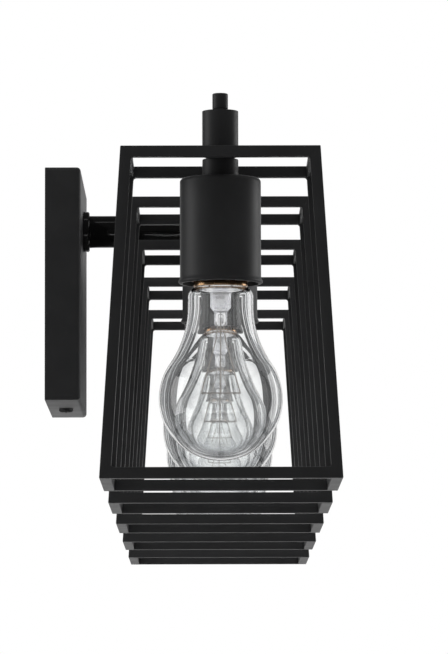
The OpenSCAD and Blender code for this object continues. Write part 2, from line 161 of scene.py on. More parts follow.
class BulbSettings(bpy.types.PropertyGroup):
    """Sizes of the clear bulbs."""

    neck_d: length("Neck", "Diameter of the neck", 32 * MM)
    shoulder_curve: length("Shoulder curve", "Radius of the hollow curve under the neck", 50 * MM)
    neck_round: length("Neck end", "Radius at the end of the neck", 5 * MM)
    ball_wall: length("Ball glass", "Wall of the glass in the ball", 0.65 * MM)
    neck_wall: length("Neck glass", "Wall of the glass in the neck", 1.2 * MM)
    thread_depth: length("Base thread depth", "Depth of the rolled thread", 0.8 * MM)
    stem_d: length("Stem", "Diameter of the glass stem", 10.2 * MM)
    stem_length: length("Stem length", "Length of the wide part of the stem", 11 * MM)
    pinch_d: length("Pinch", "Width of the pinch that holds the leads", 6.4 * MM)
    pinch_length: length("Pinch length", "Length of the pinch", 8 * MM)
    filament_length: length("Filament", "Length of the filament", 19 * MM)
    filament_rise: length("Filament rise", "Height of the filament above the bulb's bottom", 33 * MM)
    coil_turns: IntProperty(
        name="Filament turns", description="Turns of the filament's coil", default=30, min=4, max=60
    )


class FittingSettings(bpy.types.PropertyGroup):
    """Sizes of the arm, the backplate, the lampholders and the small fittings."""

    tube_wall: length("Arm wall", "Wall of the arm's tube", 1.2 * MM)
    rail_wall: length("Rail wall", "Wall of the rail's tubes", 1 * MM)
    plate_wall: length("Plate wall", "Wall of the backplate", 1.2 * MM)
    plate_round: length("Plate edge", "Radius along the front edges of the backplate", 2.2 * MM)
    sheet: length("Bracket sheet", "Thickness of the mounting bracket", 2 * MM)
    slot_width: length("Slot width", "Width of the bracket's slots", 4.8 * MM)
    slot_length: length("Slot length", "Length of the bracket's slots", 7 * MM)
    wide_slots: length("Wide slots", "Distance between the wider pair of slots", 88.9 * MM)
    close_slots: length("Close slots", "Distance between the closer pair of slots", 69.85 * MM)
    nipple_bore: length("Nipple bore", "Wiring bore of the nipples", 7 * MM)
    nut_flats: length("Nut", "Width across the flats of the nuts", 14 * MM)
    spigot: length("Spigot", "Diameter of the spigot's tip", 8 * MM)
    spigot_bore: length("Spigot bore", "Wiring bore of the spigot", 5.5 * MM)
    screw: length("Plate screw", "Diameter of the backplate's screws", 4 * MM)
    ground_hole: length("Ground hole", "Hole for the ground screw", 4.2 * MM)
    edge: length("Edge round", "Rounding of the arm's and the spigot's edges", 0.3 * MM)
    fine_edge: length("Fine edge round", "Rounding of thin sheet and small edges", 0.2 * MM)


class FinishSettings(bpy.types.PropertyGroup):
    """Colours of the finishes."""

    powder: colour("Black powder coat", "Satin coat of the cages and columns", (0.0255, 0.0257, 0.0265))
    gloss: colour("Black gloss", "Gloss coat of the arm", (0.004, 0.004, 0.004))
    zinc: colour("Zinc", "Plated steel", (0.62, 0.63, 0.62))
    brass: colour("Brass", "Screw shells and contact tongues", (0.72, 0.47, 0.18))
    base: colour("Bulb base", "Plated shell of a bulb's base", (0.42, 0.26, 0.14))
    phenolic: colour("Phenolic", "Moulded lampholder bodies", (0.075, 0.028, 0.012))
    hot: colour("Hot insulation", "Black insulation", (0.012, 0.012, 0.012))
    neutral: colour("Neutral insulation", "White insulation", (0.74, 0.72, 0.66))
    ground: colour("Ground insulation", "Green insulation", (0.03, 0.22, 0.06))
    connector: colour("Connector", "Moulded wire connectors", (0.72, 0.25, 0.05))
    green: colour("Green plating", "Green dyed plating of the ground screw", (0.05, 0.34, 0.12))
    insulator: colour("Insulator", "Dark glass under a bulb's contact", (0.012, 0.010, 0.016))
    wire: colour("Filament", "Tungsten and lead wires", (0.30, 0.28, 0.26))


class StageSettings(bpy.types.PropertyGroup):
    """The camera, lamps, floor and background."""

    camera_place: FloatVectorProperty(
        name="Camera place", description="Where the camera stands", size=3, subtype="TRANSLATION",
        default=(-2.6824, -0.09303, -0.27822),
    )
    pitch: angle("Pitch", "Angle by which the camera looks up", 0.0965)
    yaw: angle("Yaw", "Angle by which the camera turns right", 0.00275)
    roll: angle("Roll", "Angle by which the camera leans", -0.0024)
    lens: FloatProperty(
        name="Lens", description="Focal length in millimetres", default=258.88, subtype="DISTANCE_CAMERA"
    )
    floor_drop: length("Floor drop", "Distance from the light down to the floor", 0.42, high=3)
    ambient: FloatProperty(
        name="Ambient", description="Strength of the even light", default=0.42, min=0
    )
    backdrop_angle: angle(
        "Backdrop angle", "Half angle of the white backdrop seen in reflections", math.radians(30)
    )


# Modelling helpers


def clear_selection():
    """Leaves nothing selected, so that the next operator acts on the new piece alone."""
    bpy.ops.object.select_all(action="DESELECT")


def pick(piece):
    """Makes a piece the one selected and active object."""
    clear_selection()
    piece.select_set(True)
    bpy.context.view_layer.objects.active = piece


def apply_place(piece):
    """Puts a piece's place, turn and scale into its mesh."""
    pick(piece)
    bpy.ops.object.transform_apply(location=True, rotation=True, scale=True)


def start(add, **sizes):
    """Adds a primitive at its size and place and returns it, with its place in its mesh."""
    clear_selection()
    add(**sizes)
    piece = bpy.context.active_object
    apply_place(piece)
    return piece


def block(low, high):
    """A block between two corners."""
    low, high = Vector(low), Vector(high)
    return start(bpy.ops.mesh.primitive_cube_add, size=1, location=(low + high) / 2, scale=high - low)


def rod(centre, diameter, height, turn=(0, 0, 0), sides=64):
    """A round rod through a point, upright unless it is turned."""
    return start(
        bpy.ops.mesh.primitive_cylinder_add,
        vertices=sides, radius=diameter / 2, depth=height, location=centre, rotation=turn,
    )


def edit_all(piece):
    """Opens a piece for editing with all of it selected."""
    pick(piece)
    bpy.ops.object.mode_set(mode="EDIT")
    bpy.ops.mesh.select_mode(type="VERT")
    bpy.ops.mesh.select_all(action="SELECT")


def face_outwards():
    """Turns all faces of the piece being edited outwards and leaves edit mode."""
    bpy.ops.mesh.select_all(action="SELECT")
    bpy.ops.mesh.normals_make_consistent(inside=False)
    bpy.ops.object.mode_set(mode="OBJECT")


def deselect_parts(piece, kind):
    """Leaves no part of a piece selected and sets the kind of part that is selected next."""
    pick(piece)
    bpy.ops.object.mode_set(mode="EDIT")
    bpy.ops.mesh.select_mode(type=kind)
    bpy.ops.mesh.select_all(action="DESELECT")
    bpy.ops.object.mode_set(mode="OBJECT")


def along_x(way):
    """Whether a direction runs along X."""
    return abs(way.x) > 0.9


def round_edges(piece, wanted, radius, segments):
    """Rounds those edges of a piece whose middle and direction are wanted."""
    deselect_parts(piece, "EDGE")
    points = piece.data.vertices
    for edge in piece.data.edges:
        a, b = (points[k].co for k in edge.vertices)
        edge.select = bool(wanted((a + b) / 2, (b - a).normalized()))
    bpy.ops.object.mode_set(mode="EDIT")
    bpy.ops.mesh.bevel(offset=radius, segments=segments, affect="EDGES")
    bpy.ops.object.mode_set(mode="OBJECT")


def prism(centre, bottom, top, low, high):
    """A block round an upright axis that narrows evenly between its half sizes at two heights."""
    piece = block(
        (centre.x - bottom[0], centre.y - bottom[1], low), (centre.x + bottom[0], centre.y + bottom[1], high)
    )
    deselect_parts(piece, "FACE")
    for face in piece.data.polygons:
        face.select = face.normal.z > 0.9
    bpy.ops.object.mode_set(mode="EDIT")
    bpy.ops.transform.resize(
        value=(top[0] / bottom[0], top[1] / bottom[1], 1), center_override=(centre.x, centre.y, high)
    )
    bpy.ops.object.mode_set(mode="OBJECT")
    return piece


def apply_modifier(piece, kind, **settings):
    """Adds a modifier with its settings and applies it."""
    modifier = piece.modifiers.new(kind.title(), kind)
    for key, value in settings.items():
        setattr(modifier, key, value)
    pick(piece)
    bpy.ops.object.modifier_apply(modifier=modifier.name)


def combine(piece, tool, operation="DIFFERENCE"):
    """Cuts a tool out of a piece, or joins it on, and uses the tool up."""
    apply_modifier(piece, "BOOLEAN", operation=operation, solver="EXACT", object=tool)
    bpy.data.objects.remove(tool)


def smooth(piece, angle=35):
    """Smooths a piece's shading across its flatter edges."""
    pick(piece)
    bpy.ops.object.shade_smooth_by_angle(angle=math.radians(angle))


def soften(piece, width, segments=2, angle=35):
    """Rounds a piece's sharp edges and smooths its shading."""
    apply_modifier(
        piece, "BEVEL", width=width, segments=segments,
        limit_method="ANGLE", angle_limit=math.radians(angle),
    )
    smooth(piece, angle)


def arc(centre, radius, begin, end, steps):
    """Points along an arc in the plane of radius and height, with its angles in degrees."""
    turns = [math.radians(begin + (end - begin) * k / steps) for k in range(steps + 1)]
    return [(centre[0] + radius * math.cos(t), centre[1] + radius * math.sin(t)) for t in turns]


def closed(points):
    """An outline whose last point is its first."""
    return points + points[:1]


def ridged(radius, depth, pitch, low, high):
    """Points down the outside of a thread, as fine ridges."""
    rings = max(1, int((high - low) / pitch))
    step = (high - low) / rings
    points = []
    for k in range(rings):
        points += [(radius - depth, low + k * step), (radius, low + (k + 0.5) * step)]
    return points + [(radius - depth, high)]


def turned(outline, steps=96, place=(0, 0, 0), axis="Z"):
    """Turns an outline of (radius, height) points a full circle round an axis."""
    along = Vector((axis == "X", axis == "Y", axis == "Z"))
    out = Vector((0, 1, 0)) if axis == "X" else Vector((1, 0, 0))
    spots = [out * radius + along * height for radius, height in outline]
    piece = start(bpy.ops.mesh.primitive_plane_add, size=MM)
    edit_all(piece)
    bpy.ops.mesh.merge(type="CENTER")
    bpy.ops.transform.translate(value=spots[0])
    for here, there in zip(spots, spots[1:]):
        bpy.ops.mesh.extrude_region_move(TRANSFORM_OT_translate={"value": there - here})
    bpy.ops.mesh.select_all(action="SELECT")
    bpy.ops.mesh.spin(steps=steps, angle=FULL_TURN, center=(0, 0, 0), axis=along)
    bpy.ops.mesh.select_all(action="SELECT")
    bpy.ops.mesh.remove_doubles(threshold=0.002 * MM)
    bpy.ops.transform.translate(value=place)
    face_outwards()
    return piece


def pipe(radius, bore, low, high, place, axis="Z"):
    """A straight tube along an axis."""
    return turned(closed([(bore, low), (radius, low), (radius, high), (bore, high)]), 96, place, axis)


def hex_nut(across, bore, low, high, place, axis="Z"):
    """A hexagon nut with turned corners and a bore, along an axis."""
    thick = high - low
    flat = across / 2
    corner = flat / math.cos(math.pi / 6)
    chamfer = 0.6 * (corner - flat)
    rim = corner + 0.05 * MM
    nut = rod((0, 0, thick / 2), 2 * corner, thick, sides=6)
    combine(nut, turned([
        (0, 0), (flat, 0), (rim, chamfer), (rim, thick - chamfer), (flat, thick), (0, thick),
    ], 50), "INTERSECT")
    combine(nut, rod((0, 0, thick / 2), 2 * bore, 2 * thick, sides=48))
    if axis == "Y":
        nut.rotation_euler = (-math.pi / 2, 0, 0)
    nut.location = Vector(place) + low * Vector((0, axis == "Y", axis == "Z"))
    apply_place(nut)
    smooth(nut, 30)
    return nut


def cross_recess(screw, top, size, depth):
    """Cuts a cross into the head of an upright screw."""
    slot = 0.22 * size
    for wide, long in ((slot, size), (size, slot)):
        combine(screw, block((-wide / 2, -long / 2, top - depth), (wide / 2, long / 2, top + depth)))


def press(piece, share):
    """Moves each point of an upright piece in to a share of its radius, given its turn and height."""
    for point in piece.data.vertices:
        x, y, z = point.co
        kept = share(math.hypot(x, y), math.atan2(y, x), z)
        point.co = (x * kept, y * kept, z)


def copies(piece, offsets):
    """Copies of a piece at each offset, in order, each with its own mesh, in its stead."""
    made = []
    for offset in offsets:
        pick(piece)
        bpy.ops.object.duplicate(linked=False)
        copy = bpy.context.active_object
        bpy.ops.transform.translate(value=offset)
        apply_place(copy)
        made.append(copy)
    bpy.data.objects.remove(piece)
    return made


def dress(piece, material):
    """Gives a piece one material."""
    piece.data.materials.clear()
    piece.data.materials.append(material)


# Node helpers

COLOUR_A, COLOUR_B, MIXED_COLOUR = 6, 7, 2  # sockets of a Mix node that mixes colours


def linked(tree, target, value):
    """Sets a socket to a number or colour, or links another socket to it."""
    if isinstance(value, bpy.types.NodeSocket):
        tree.links.new(value, target)
    else:
        target.default_value = value


def node(tree, kind, inputs=None, **settings):
    """Adds a node, sets its options and fills its inputs."""
    made = tree.nodes.new(kind)
    for key, value in settings.items():
        setattr(made, key, value)
    for key, value in (inputs or {}).items():
        linked(tree, made.inputs[key], value)
    return made


def maths(tree, operation, a, b=0.0, clamp=False):
    """One step of arithmetic, as a socket."""
    return node(tree, "ShaderNodeMath", {0: a, 1: b}, operation=operation, use_clamp=clamp).outputs[0]


def spread(tree, value, low, high, new_low=0.0, new_high=1.0):
    """Stretches a value from one range to another, held at its ends."""
    return node(
        tree, "ShaderNodeMapRange",
        {"Value": value, "From Min": low, "From Max": high, "To Min": new_low, "To Max": new_high},
    ).outputs["Result"]


def blended(tree, share, first, second, kind="MIX"):
    """Mixes two colours by a share."""
    mix = node(tree, "ShaderNodeMix", data_type="RGBA", blend_type=kind)
    for socket, value in (("Factor", share), (COLOUR_A, first), (COLOUR_B, second)):
        linked(tree, mix.inputs[socket], value)
    return mix.outputs[MIXED_COLOUR]


def noise(tree, place, scale, detail=2.0, roughness=0.5):
    """Noise at a scale in waves per metre."""
    return node(
        tree, "ShaderNodeTexNoise",
        {"Vector": place, "Scale": scale, "Detail": detail, "Roughness": roughness},
    ).outputs["Fac"]


def object_place(tree):
    """The point of the piece, in metres."""
    return node(tree, "ShaderNodeTexCoord").outputs["Object"]


def rgba(tone):
    """A colour with full opacity."""
    return (*tone, 1.0)


def new_group(name, inputs, outputs):
    """A shader node group with named sockets, and its two end nodes."""
    group = bpy.data.node_groups.new(name, "ShaderNodeTree")
    for label, kind, default in inputs:
        socket = group.interface.new_socket(label, in_out="INPUT", socket_type=kind)
        socket.default_value = default
    for label, kind in outputs:
        group.interface.new_socket(label, in_out="OUTPUT", socket_type=kind)
    return group, group.nodes.new("NodeGroupInput"), group.nodes.new("NodeGroupOutput")


def group_node(tree, group, **inputs):
    """Places a group in a material with its own values. Underscores stand for spaces."""
    made = tree.nodes.new("ShaderNodeGroup")
    made.node_tree = group
    for key, value in inputs.items():
        linked(tree, made.inputs[key.replace("_", " ")], value)
    return made.outputs


@cache
def coat_grain():
    """The fine orange peel and the faint mottling of a sprayed or moulded surface."""
    group, given, result = new_group(
        "Coat grain",
        [("Colour", "NodeSocketColor", (0.5, 0.5, 0.5, 1)), ("Grain Scale", "NodeSocketFloat", 2200.0),
         ("Mottle Scale", "NodeSocketFloat", 60.0), ("Mottle", "NodeSocketFloat", 0.15),
         ("Roughness", "NodeSocketFloat", 0.4), ("Roughness Spread", "NodeSocketFloat", 0.06)],
        [("Colour", "NodeSocketColor"), ("Roughness", "NodeSocketFloat"), ("Height", "NodeSocketFloat")],
    )
    place = object_place(group)
    fine = noise(group, place, given.outputs["Grain Scale"], 3.0, 0.6)
    broad = noise(group, place, given.outputs["Mottle Scale"], 4.0, 0.55)
    swing = maths(group, "SUBTRACT", spread(group, broad, 0.3, 0.7), 0.5)
    level = maths(group, "ADD", maths(group, "MULTIPLY", swing, given.outputs["Mottle"]), 1.0)
    tint = node(group, "ShaderNodeCombineColor", {0: level, 1: level, 2: level}).outputs[0]
    shade = blended(group, 1.0, given.outputs["Colour"], tint, "MULTIPLY")
    shift = maths(group, "MULTIPLY", swing, given.outputs["Roughness Spread"])
    linked(group, result.inputs["Colour"], shade)
    linked(group, result.inputs["Roughness"], maths(group, "ADD", given.outputs["Roughness"], shift))
    linked(group, result.inputs["Height"], fine)
    return group


@cache
def edge_wear_and_highlight():
    """A mask of the outer edges, broken up by noise, where a finish is thinnest and where a lighter tone is
    painted as an edge highlight.
    """
    group, given, result = new_group(
        "Edge wear and painted highlight",
        [("Radius", "NodeSocketFloat", 0.0006), ("Amount", "NodeSocketFloat", 1.0),
         ("Breakup Scale", "NodeSocketFloat", 300.0)],
        [("Mask", "NodeSocketFloat")],
    )
    rounded = node(group, "ShaderNodeBevel", {"Radius": given.outputs["Radius"]}, samples=4)
    true = node(group, "ShaderNodeNewGeometry").outputs["Normal"]
    along = node(group, "ShaderNodeVectorMath", {0: rounded.outputs[0], 1: true}, operation="DOT_PRODUCT")
    bend = spread(group, maths(group, "SUBTRACT", 1.0, along.outputs["Value"]), 0.0, 0.25)
    broken = spread(group, noise(group, object_place(group), given.outputs["Breakup Scale"]), 0.3, 0.7, 0.4)
    mask = maths(group, "MULTIPLY", maths(group, "MULTIPLY", bend, broken), given.outputs["Amount"], True)
    linked(group, result.inputs["Mask"], mask)
    return group


@cache
def brushing():
    """Fine drawn lines in metal, stretched along one axis."""
    group, given, result = new_group(
        "Brushing",
        [("Scale", "NodeSocketFloat", 400.0), ("Stretch", "NodeSocketVector", (1, 1, 12))],
        [("Height", "NodeSocketFloat")],
    )
    drawn = node(
        group, "ShaderNodeVectorMath", {0: object_place(group), 1: given.outputs["Stretch"]},
        operation="MULTIPLY",
    ).outputs[0]
    linked(group, result.inputs["Height"], noise(group, drawn, given.outputs["Scale"], 4.0, 0.6))
    return group


@cache
def tarnish():
    """Patches where bare metal has darkened."""
    group, given, result = new_group(
        "Tarnish",
        [("Scale", "NodeSocketFloat", 120.0), ("Amount", "NodeSocketFloat", 0.5)],
        [("Mask", "NodeSocketFloat")],
    )
    patches = spread(group, noise(group, object_place(group), given.outputs["Scale"], 6.0, 0.6), 0.45, 0.75)
    linked(group, result.inputs["Mask"], maths(group, "MULTIPLY", patches, given.outputs["Amount"], True))
    return group


def new_material(name):
    """A material with its tree and its Principled shader."""
    material = bpy.data.materials.new(name)
    material.use_nodes = True
    return material, material.node_tree, material.node_tree.nodes["Principled BSDF"]


def fill(tree, shader, **inputs):
    """Sets or links the shader's sockets. Underscores stand for spaces."""
    for key, value in inputs.items():
        linked(tree, shader.inputs[key.replace("_", " ")], value)


def bumped(tree, height, distance, strength=1.0):
    """A surface roughened by a height, with its depth in metres."""
    return node(
        tree, "ShaderNodeBump", {"Height": height, "Distance": distance, "Strength": strength}
    ).outputs["Normal"]


def show(tree, share, shader, clear):
    """Shows the shader, and a share of the clear one in its place."""
    mix = node(tree, "ShaderNodeMixShader", {0: share, 1: shader.outputs[0], 2: clear})
    tree.links.new(mix.outputs[0], tree.nodes["Material Output"].inputs["Surface"])


# Finishes


def coated(name, tone, roughness, grain, depth, mottle, edge_wear_and_highlight_amount, worn_and_lit_edge_tone, specular=0.5):
    """A sprayed or moulded finish with grain, mottling, and lighter edges that are part wear and part
    painted highlight.
    """
    material, tree, shader = new_material(name)
    coat = group_node(
        tree, coat_grain(), Colour=rgba(tone), Grain_Scale=grain, Mottle=mottle, Roughness=roughness
    )
    # Edge mask: worn edges, with a lighter tone painted along them as a highlight.
    edges = group_node(tree, edge_wear_and_highlight(), Amount=edge_wear_and_highlight_amount)
    fill(
        tree, shader, Roughness=coat["Roughness"], Specular_IOR_Level=specular,
        Base_Color=blended(tree, edges["Mask"], coat["Colour"], rgba(worn_and_lit_edge_tone)),
        Normal=bumped(tree, coat["Height"], depth),
    )
    return material


def insulation(name, tone):
    """Soft insulation of a conductor."""
    return coated(
        name, tone, roughness=0.42, grain=1200.0, depth=0.012 * MM, mottle=0.2, edge_wear_and_highlight_amount=0.0, worn_and_lit_edge_tone=tone
    )


def connector_plastic(tone):
    """Moulded plastic of the wire connectors, which lets a little light in."""
    material = coated(
        "Connector plastic", tone, roughness=0.38, grain=900.0, depth=0.015 * MM, mottle=0.15,
        edge_wear_and_highlight_amount=0.3, worn_and_lit_edge_tone=(0.8, 0.4, 0.15),
    )
    tree = material.node_tree
    fill(
        tree, tree.nodes["Principled BSDF"],
        Subsurface_Weight=0.05, Subsurface_Radius=(0.002, 0.001, 0.0005),
    )
    return material


def zinc_steel(tone):
    """Bright zinc plate with faint spangle and drawing lines."""
    material, tree, shader = new_material("Zinc plated steel")
    place = object_place(tree)
    spangle = node(tree, "ShaderNodeTexVoronoi", {"Vector": place, "Scale": 260.0}).outputs["Color"]
    lines = group_node(tree, brushing(), Scale=500.0, Stretch=(1, 1, 14))
    dull = group_node(tree, tarnish(), Scale=90.0, Amount=0.5)
    grey = node(tree, "ShaderNodeRGBToBW", {0: spangle}).outputs[0]
    flaked = blended(tree, spread(tree, grey, 0.0, 1.0, 0.0, 0.25), rgba(tone), (0.42, 0.44, 0.46, 1))
    fill(
        tree, shader, Metallic=1.0,
        Base_Color=blended(tree, dull["Mask"], flaked, (0.40, 0.40, 0.38, 1)),
        Roughness=spread(tree, grey, 0.0, 1.0, 0.28, 0.42),
        Normal=bumped(tree, lines["Height"], 0.02 * MM, 0.6),
    )
    return material


def warm_metal(name, tone, dark, roughness):
    """Polished brass or brass plate, darker and duller where it has tarnished."""
    material, tree, shader = new_material(name)
    lines = group_node(tree, brushing(), Scale=500.0, Stretch=(1, 1, 10))
    dull = group_node(tree, tarnish(), Scale=160.0, Amount=0.8)
    fill(
        tree, shader, Metallic=1.0,
        Base_Color=blended(tree, dull["Mask"], rgba(tone), rgba(dark)),
        Roughness=maths(tree, "ADD", maths(tree, "MULTIPLY", dull["Mask"], 0.2), roughness),
        Normal=bumped(tree, lines["Height"], 0.01 * MM, 0.5),
    )
    return material


def dull_metal(name, tone, dark, patches, amount, metallic, roughness):
    """Plain metal with patches of a darker tone."""
    material, tree, shader = new_material(name)
    dull = group_node(tree, tarnish(), Scale=patches, Amount=amount)
    fill(
        tree, shader, Metallic=metallic, Roughness=roughness,
        Base_Color=blended(tree, dull["Mask"], rgba(tone), rgba(dark)),
    )
    return material


def glass(name, tone, rim, clear_share, wave_scale, wave_depth):
    """Faintly wavy glass with painted shade, a grey band where it is seen edge on, that lets lamp light
    through.
    """
    material, tree, shader = new_material(name)
    wave = noise(tree, object_place(tree), wave_scale, 1.0)
    # Painted shade: the tone is mixed towards the rim tone in a band where the glass is seen edge on.
    facing = node(tree, "ShaderNodeLayerWeight", {"Blend": 0.5}).outputs["Facing"]
    deep = maths(
        tree, "MULTIPLY", spread(tree, facing, 0.22, 0.42), spread(tree, facing, 0.74, 0.86, 1.0, 0.3)
    )
    fill(
        tree, shader, Base_Color=blended(tree, deep, rgba(tone), rgba(rim)), Roughness=0.0, IOR=1.5,
        Metallic=0.0, Transmission_Weight=clear_share, Normal=bumped(tree, wave, wave_depth),
    )
    shadow = node(tree, "ShaderNodeLightPath").outputs["Is Shadow Ray"]
    clear = node(tree, "ShaderNodeBsdfTransparent", {"Color": rgba(tone)}).outputs[0]
    show(tree, shadow, shader, clear)
    return material


MAKERS = {
    # The worn tones lighten the outer edges, partly as wear and partly as a painted highlight.
    "black_finish": lambda tones: coated(
        "Black powder coat", tones.powder, roughness=0.46, grain=1500.0, depth=0.02 * MM, mottle=0.18,
        edge_wear_and_highlight_amount=0.25, worn_and_lit_edge_tone=(0.055, 0.053, 0.05), specular=0.2,
    ),
    "black_gloss": lambda tones: coated(
        "Black gloss enamel", tones.gloss, roughness=0.12, grain=700.0, depth=0.004 * MM, mottle=0.2,
        edge_wear_and_highlight_amount=0.1, worn_and_lit_edge_tone=(0.012, 0.011, 0.010),
    ),
    "zinc_steel": lambda tones: zinc_steel(tones.zinc),
    "brass": lambda tones: warm_metal("Brass", tones.brass, (0.30, 0.15, 0.05), 0.22),
    "phenolic": lambda tones: coated(
        "Brown phenolic", tones.phenolic, roughness=0.3, grain=900.0, depth=0.01 * MM, mottle=0.5,
        edge_wear_and_highlight_amount=0.3, worn_and_lit_edge_tone=(0.16, 0.07, 0.035),
    ),
    "hot_insulation": lambda tones: insulation("Black insulation", tones.hot),
    "neutral_insulation": lambda tones: insulation("White insulation", tones.neutral),
    "ground_insulation": lambda tones: insulation("Green insulation", tones.ground),
    "green_steel": lambda tones: dull_metal(
        "Green plated steel", tones.green, (0.03, 0.16, 0.07), 300.0, 0.7, 0.85, 0.32
    ),
    "connector_shell": lambda tones: connector_plastic(tones.connector),
    # The rim tones are painted shade: the grey of the band where the glass is seen edge on.
    "clear_glass": lambda tones: glass(
        "Clear bulb glass", tone=(0.985, 0.99, 0.99), rim=(0.66, 0.67, 0.68), clear_share=1.0,
        wave_scale=60.0, wave_depth=0.05 * MM,
    ),
    "stem_glass": lambda tones: glass(
        "Stem glass", tone=(0.97, 0.97, 0.98), rim=(0.80, 0.80, 0.84), clear_share=0.82,
        wave_scale=250.0, wave_depth=0.05 * MM,
    ),
    "base_metal": lambda tones: warm_metal("Brass plated base", tones.base, (0.17, 0.09, 0.045), 0.2),
    "tungsten": lambda tones: dull_metal(
        "Filament wire", tones.wire, (0.14, 0.13, 0.12), 900.0, 0.8, 1.0, 0.4
    ),
    "insulator": lambda tones: coated(
        "Dark glass insulator", tones.insulator, roughness=0.12, grain=500.0, depth=0.01 * MM,
        mottle=0.3, edge_wear_and_highlight_amount=0.0, worn_and_lit_edge_tone=tones.insulator,
    ),
}


@cache
def finish(slot):
    """The material for a slot of the record, made once."""
    return MAKERS[slot](bpy.context.scene.vanity_finish)


# Pieces


def hand_over(piece, name, slot, replaced="", body="fixture", material=None):
    """Names and dresses a finished piece, lets it ride on its body and stand for a node."""
    piece.name = piece.data.name = name
    dress(piece, finish(material or slot))
    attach(piece, body)
    if replaced:
        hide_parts(replaced)


def hand_over_all(piece, name, slot, replaced="", body="fixture", material=None):
    """Copies a piece of the first light to every light and hands over each copy."""
    first = Vector(column(LIGHTS[0]))
    offsets = [(*(Vector(column(light)) - first), 0) for light in LIGHTS]
    for light, copy in zip(LIGHTS, copies(piece, offsets)):
        hand_over(copy, name.format(light), slot, replaced.format(light), body.format(light), material)


class VANITY_OT_cages(bpy.types.Operator):
    """Weld the tapered open cages"""

    bl_idname = "vanity.cages"
    bl_label = "Cages"

    def execute(self, context):
        sizes = context.scene.vanity_cage
        low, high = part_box("cage_1")
        centre = (low + high) / 2
        base = ((high.x - low.x) / 2, (high.y - low.y) / 2)
        taper = [
            (wide - narrow / 2) / (high.z - low.z)
            for wide, narrow in zip(base, (sizes.top_length, sizes.top_width))
        ]

        def half(axis, z, bars):
            """Half the cage's size along X or Y at a height, less a number of its bars."""
            return base[axis] - taper[axis] * (z - low.z) - bars * sizes.bar * math.hypot(1, taper[axis])

        def carve(x_bars, y_bars, z_low, z_high):
            """A tapered block between two heights, narrower than the cage by its bars."""
            bottom, top = ((half(0, z, x_bars), half(1, z, y_bars)) for z in (z_low, z_high))
            return prism(centre, bottom, top, z_low, z_high)

        beyond = 8 * MM
        below, above = low.z - beyond, high.z + beyond
        window_low, window_high = low.z + sizes.bar, high.z - sizes.bar

        ends = carve(0, 0, low.z, high.z)
        combine(ends, carve(1, -1, below, above))
        window = carve(-1, 1, window_low, window_high)
        round_edges(window, lambda middle, way: along_x(way), sizes.corner, 4)
        combine(ends, window)
        soften(ends, sizes.edge)

        rails = carve(0, 0, low.z, high.z)
        combine(rails, carve(-1, 1, below, above))
        combine(rails, carve(-1, -1, window_low, window_high))
        soften(rails, sizes.edge)
        into_frames = 0.98
        combine(rails, carve(into_frames, -1, below, above), "INTERSECT")
        smooth(rails)

        strap_half = half(0, high.z, 1) + CLEARANCE
        strap = block(
            (centre.x - strap_half, centre.y - sizes.strap_width / 2, high.z - sizes.strap_thickness),
            (centre.x + strap_half, centre.y + sizes.strap_width / 2, high.z),
        )
        soften(strap, sizes.edge)
        for piece, name in (
            (ends, "cage_end_frames_{}"), (rails, "cage_rails_{}"), (strap, "cage_strap_{}")
        ):
            hand_over_all(piece, name, "black_finish", "cage_{}")
        return {"FINISHED"}


class VANITY_OT_couplings(bpy.types.Operator):
    """Turn the couplings and bore them for the rail"""

    bl_idname = "vanity.couplings"
    bl_label = "Couplings"

    def execute(self, context):
        sizes = context.scene.vanity_column
        axis_z = middle("rail_tube_1").z
        bore = 2 * half_size("rail_tube_1", "z") + 2 * CLEARANCE
        for light in LIGHTS:
            low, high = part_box(f"coupling_{light}")
            radius = (high.x - low.x) / 2
            top = high.z - low.z
            x, y = (low + high).xy / 2
            piece = turned([(0, 0), (radius, 0), (radius, top), (0, top)], place=(x, y, low.z))
            for side, last in ((-1, LIGHTS[0]), (1, LIGHTS[-1])):
                if light != last:
                    combine(piece, rod(
                        (x + side * radius, y, axis_z), bore, 1.4 * radius, turn=(0, math.pi / 2, 0)
                    ))
            soften(piece, sizes.edge, 3)
            hand_over(piece, f"rail_coupling_{light}", "black_finish", f"coupling_{light}")
        return {"FINISHED"}


class VANITY_OT_knobs(bpy.types.Operator):
    """Turn the finial knobs"""

    bl_idname = "vanity.knobs"
    bl_label = "Finial knobs"

    def execute(self, context):
        radius = half_size("finial_screws", "y")
        top = span("finial_screws", "z")[1]
        seat = span("coupling_1", "z")[1]
        ring = seat + context.scene.vanity_column.knob_foot
        groove = 0.25 * MM
        edge = 0.6 * MM
        outline = [(0, seat), (radius, seat), (radius, ring)]
        outline += [(radius - groove, ring + groove), (radius, ring + 2 * groove)]
        outline += arc((radius - edge, top - edge), edge, 0, 90, 6)
        outline += [(0, top)]
        knob = turned(outline, 64, FIRST)
        smooth(knob, 40)
        hand_over_all(knob, "finial_knob_{}", "black_finish", "finial_screws")
        return {"FINISHED"}


class VANITY_OT_spacers(bpy.types.Operator):
    """Turn the spacer collars"""

    bl_idname = "vanity.spacers"
    bl_label = "Spacer collars"

    def execute(self, context):
        radius = half_size("spacer_collars", "y")
        spacer = pipe(radius, nipple_hole(), *span("spacer_collars", "z"), FIRST)
        soften(spacer, context.scene.vanity_column.edge)
        hand_over_all(spacer, "spacer_collar_{}", "black_finish", "spacer_collars")
        return {"FINISHED"}


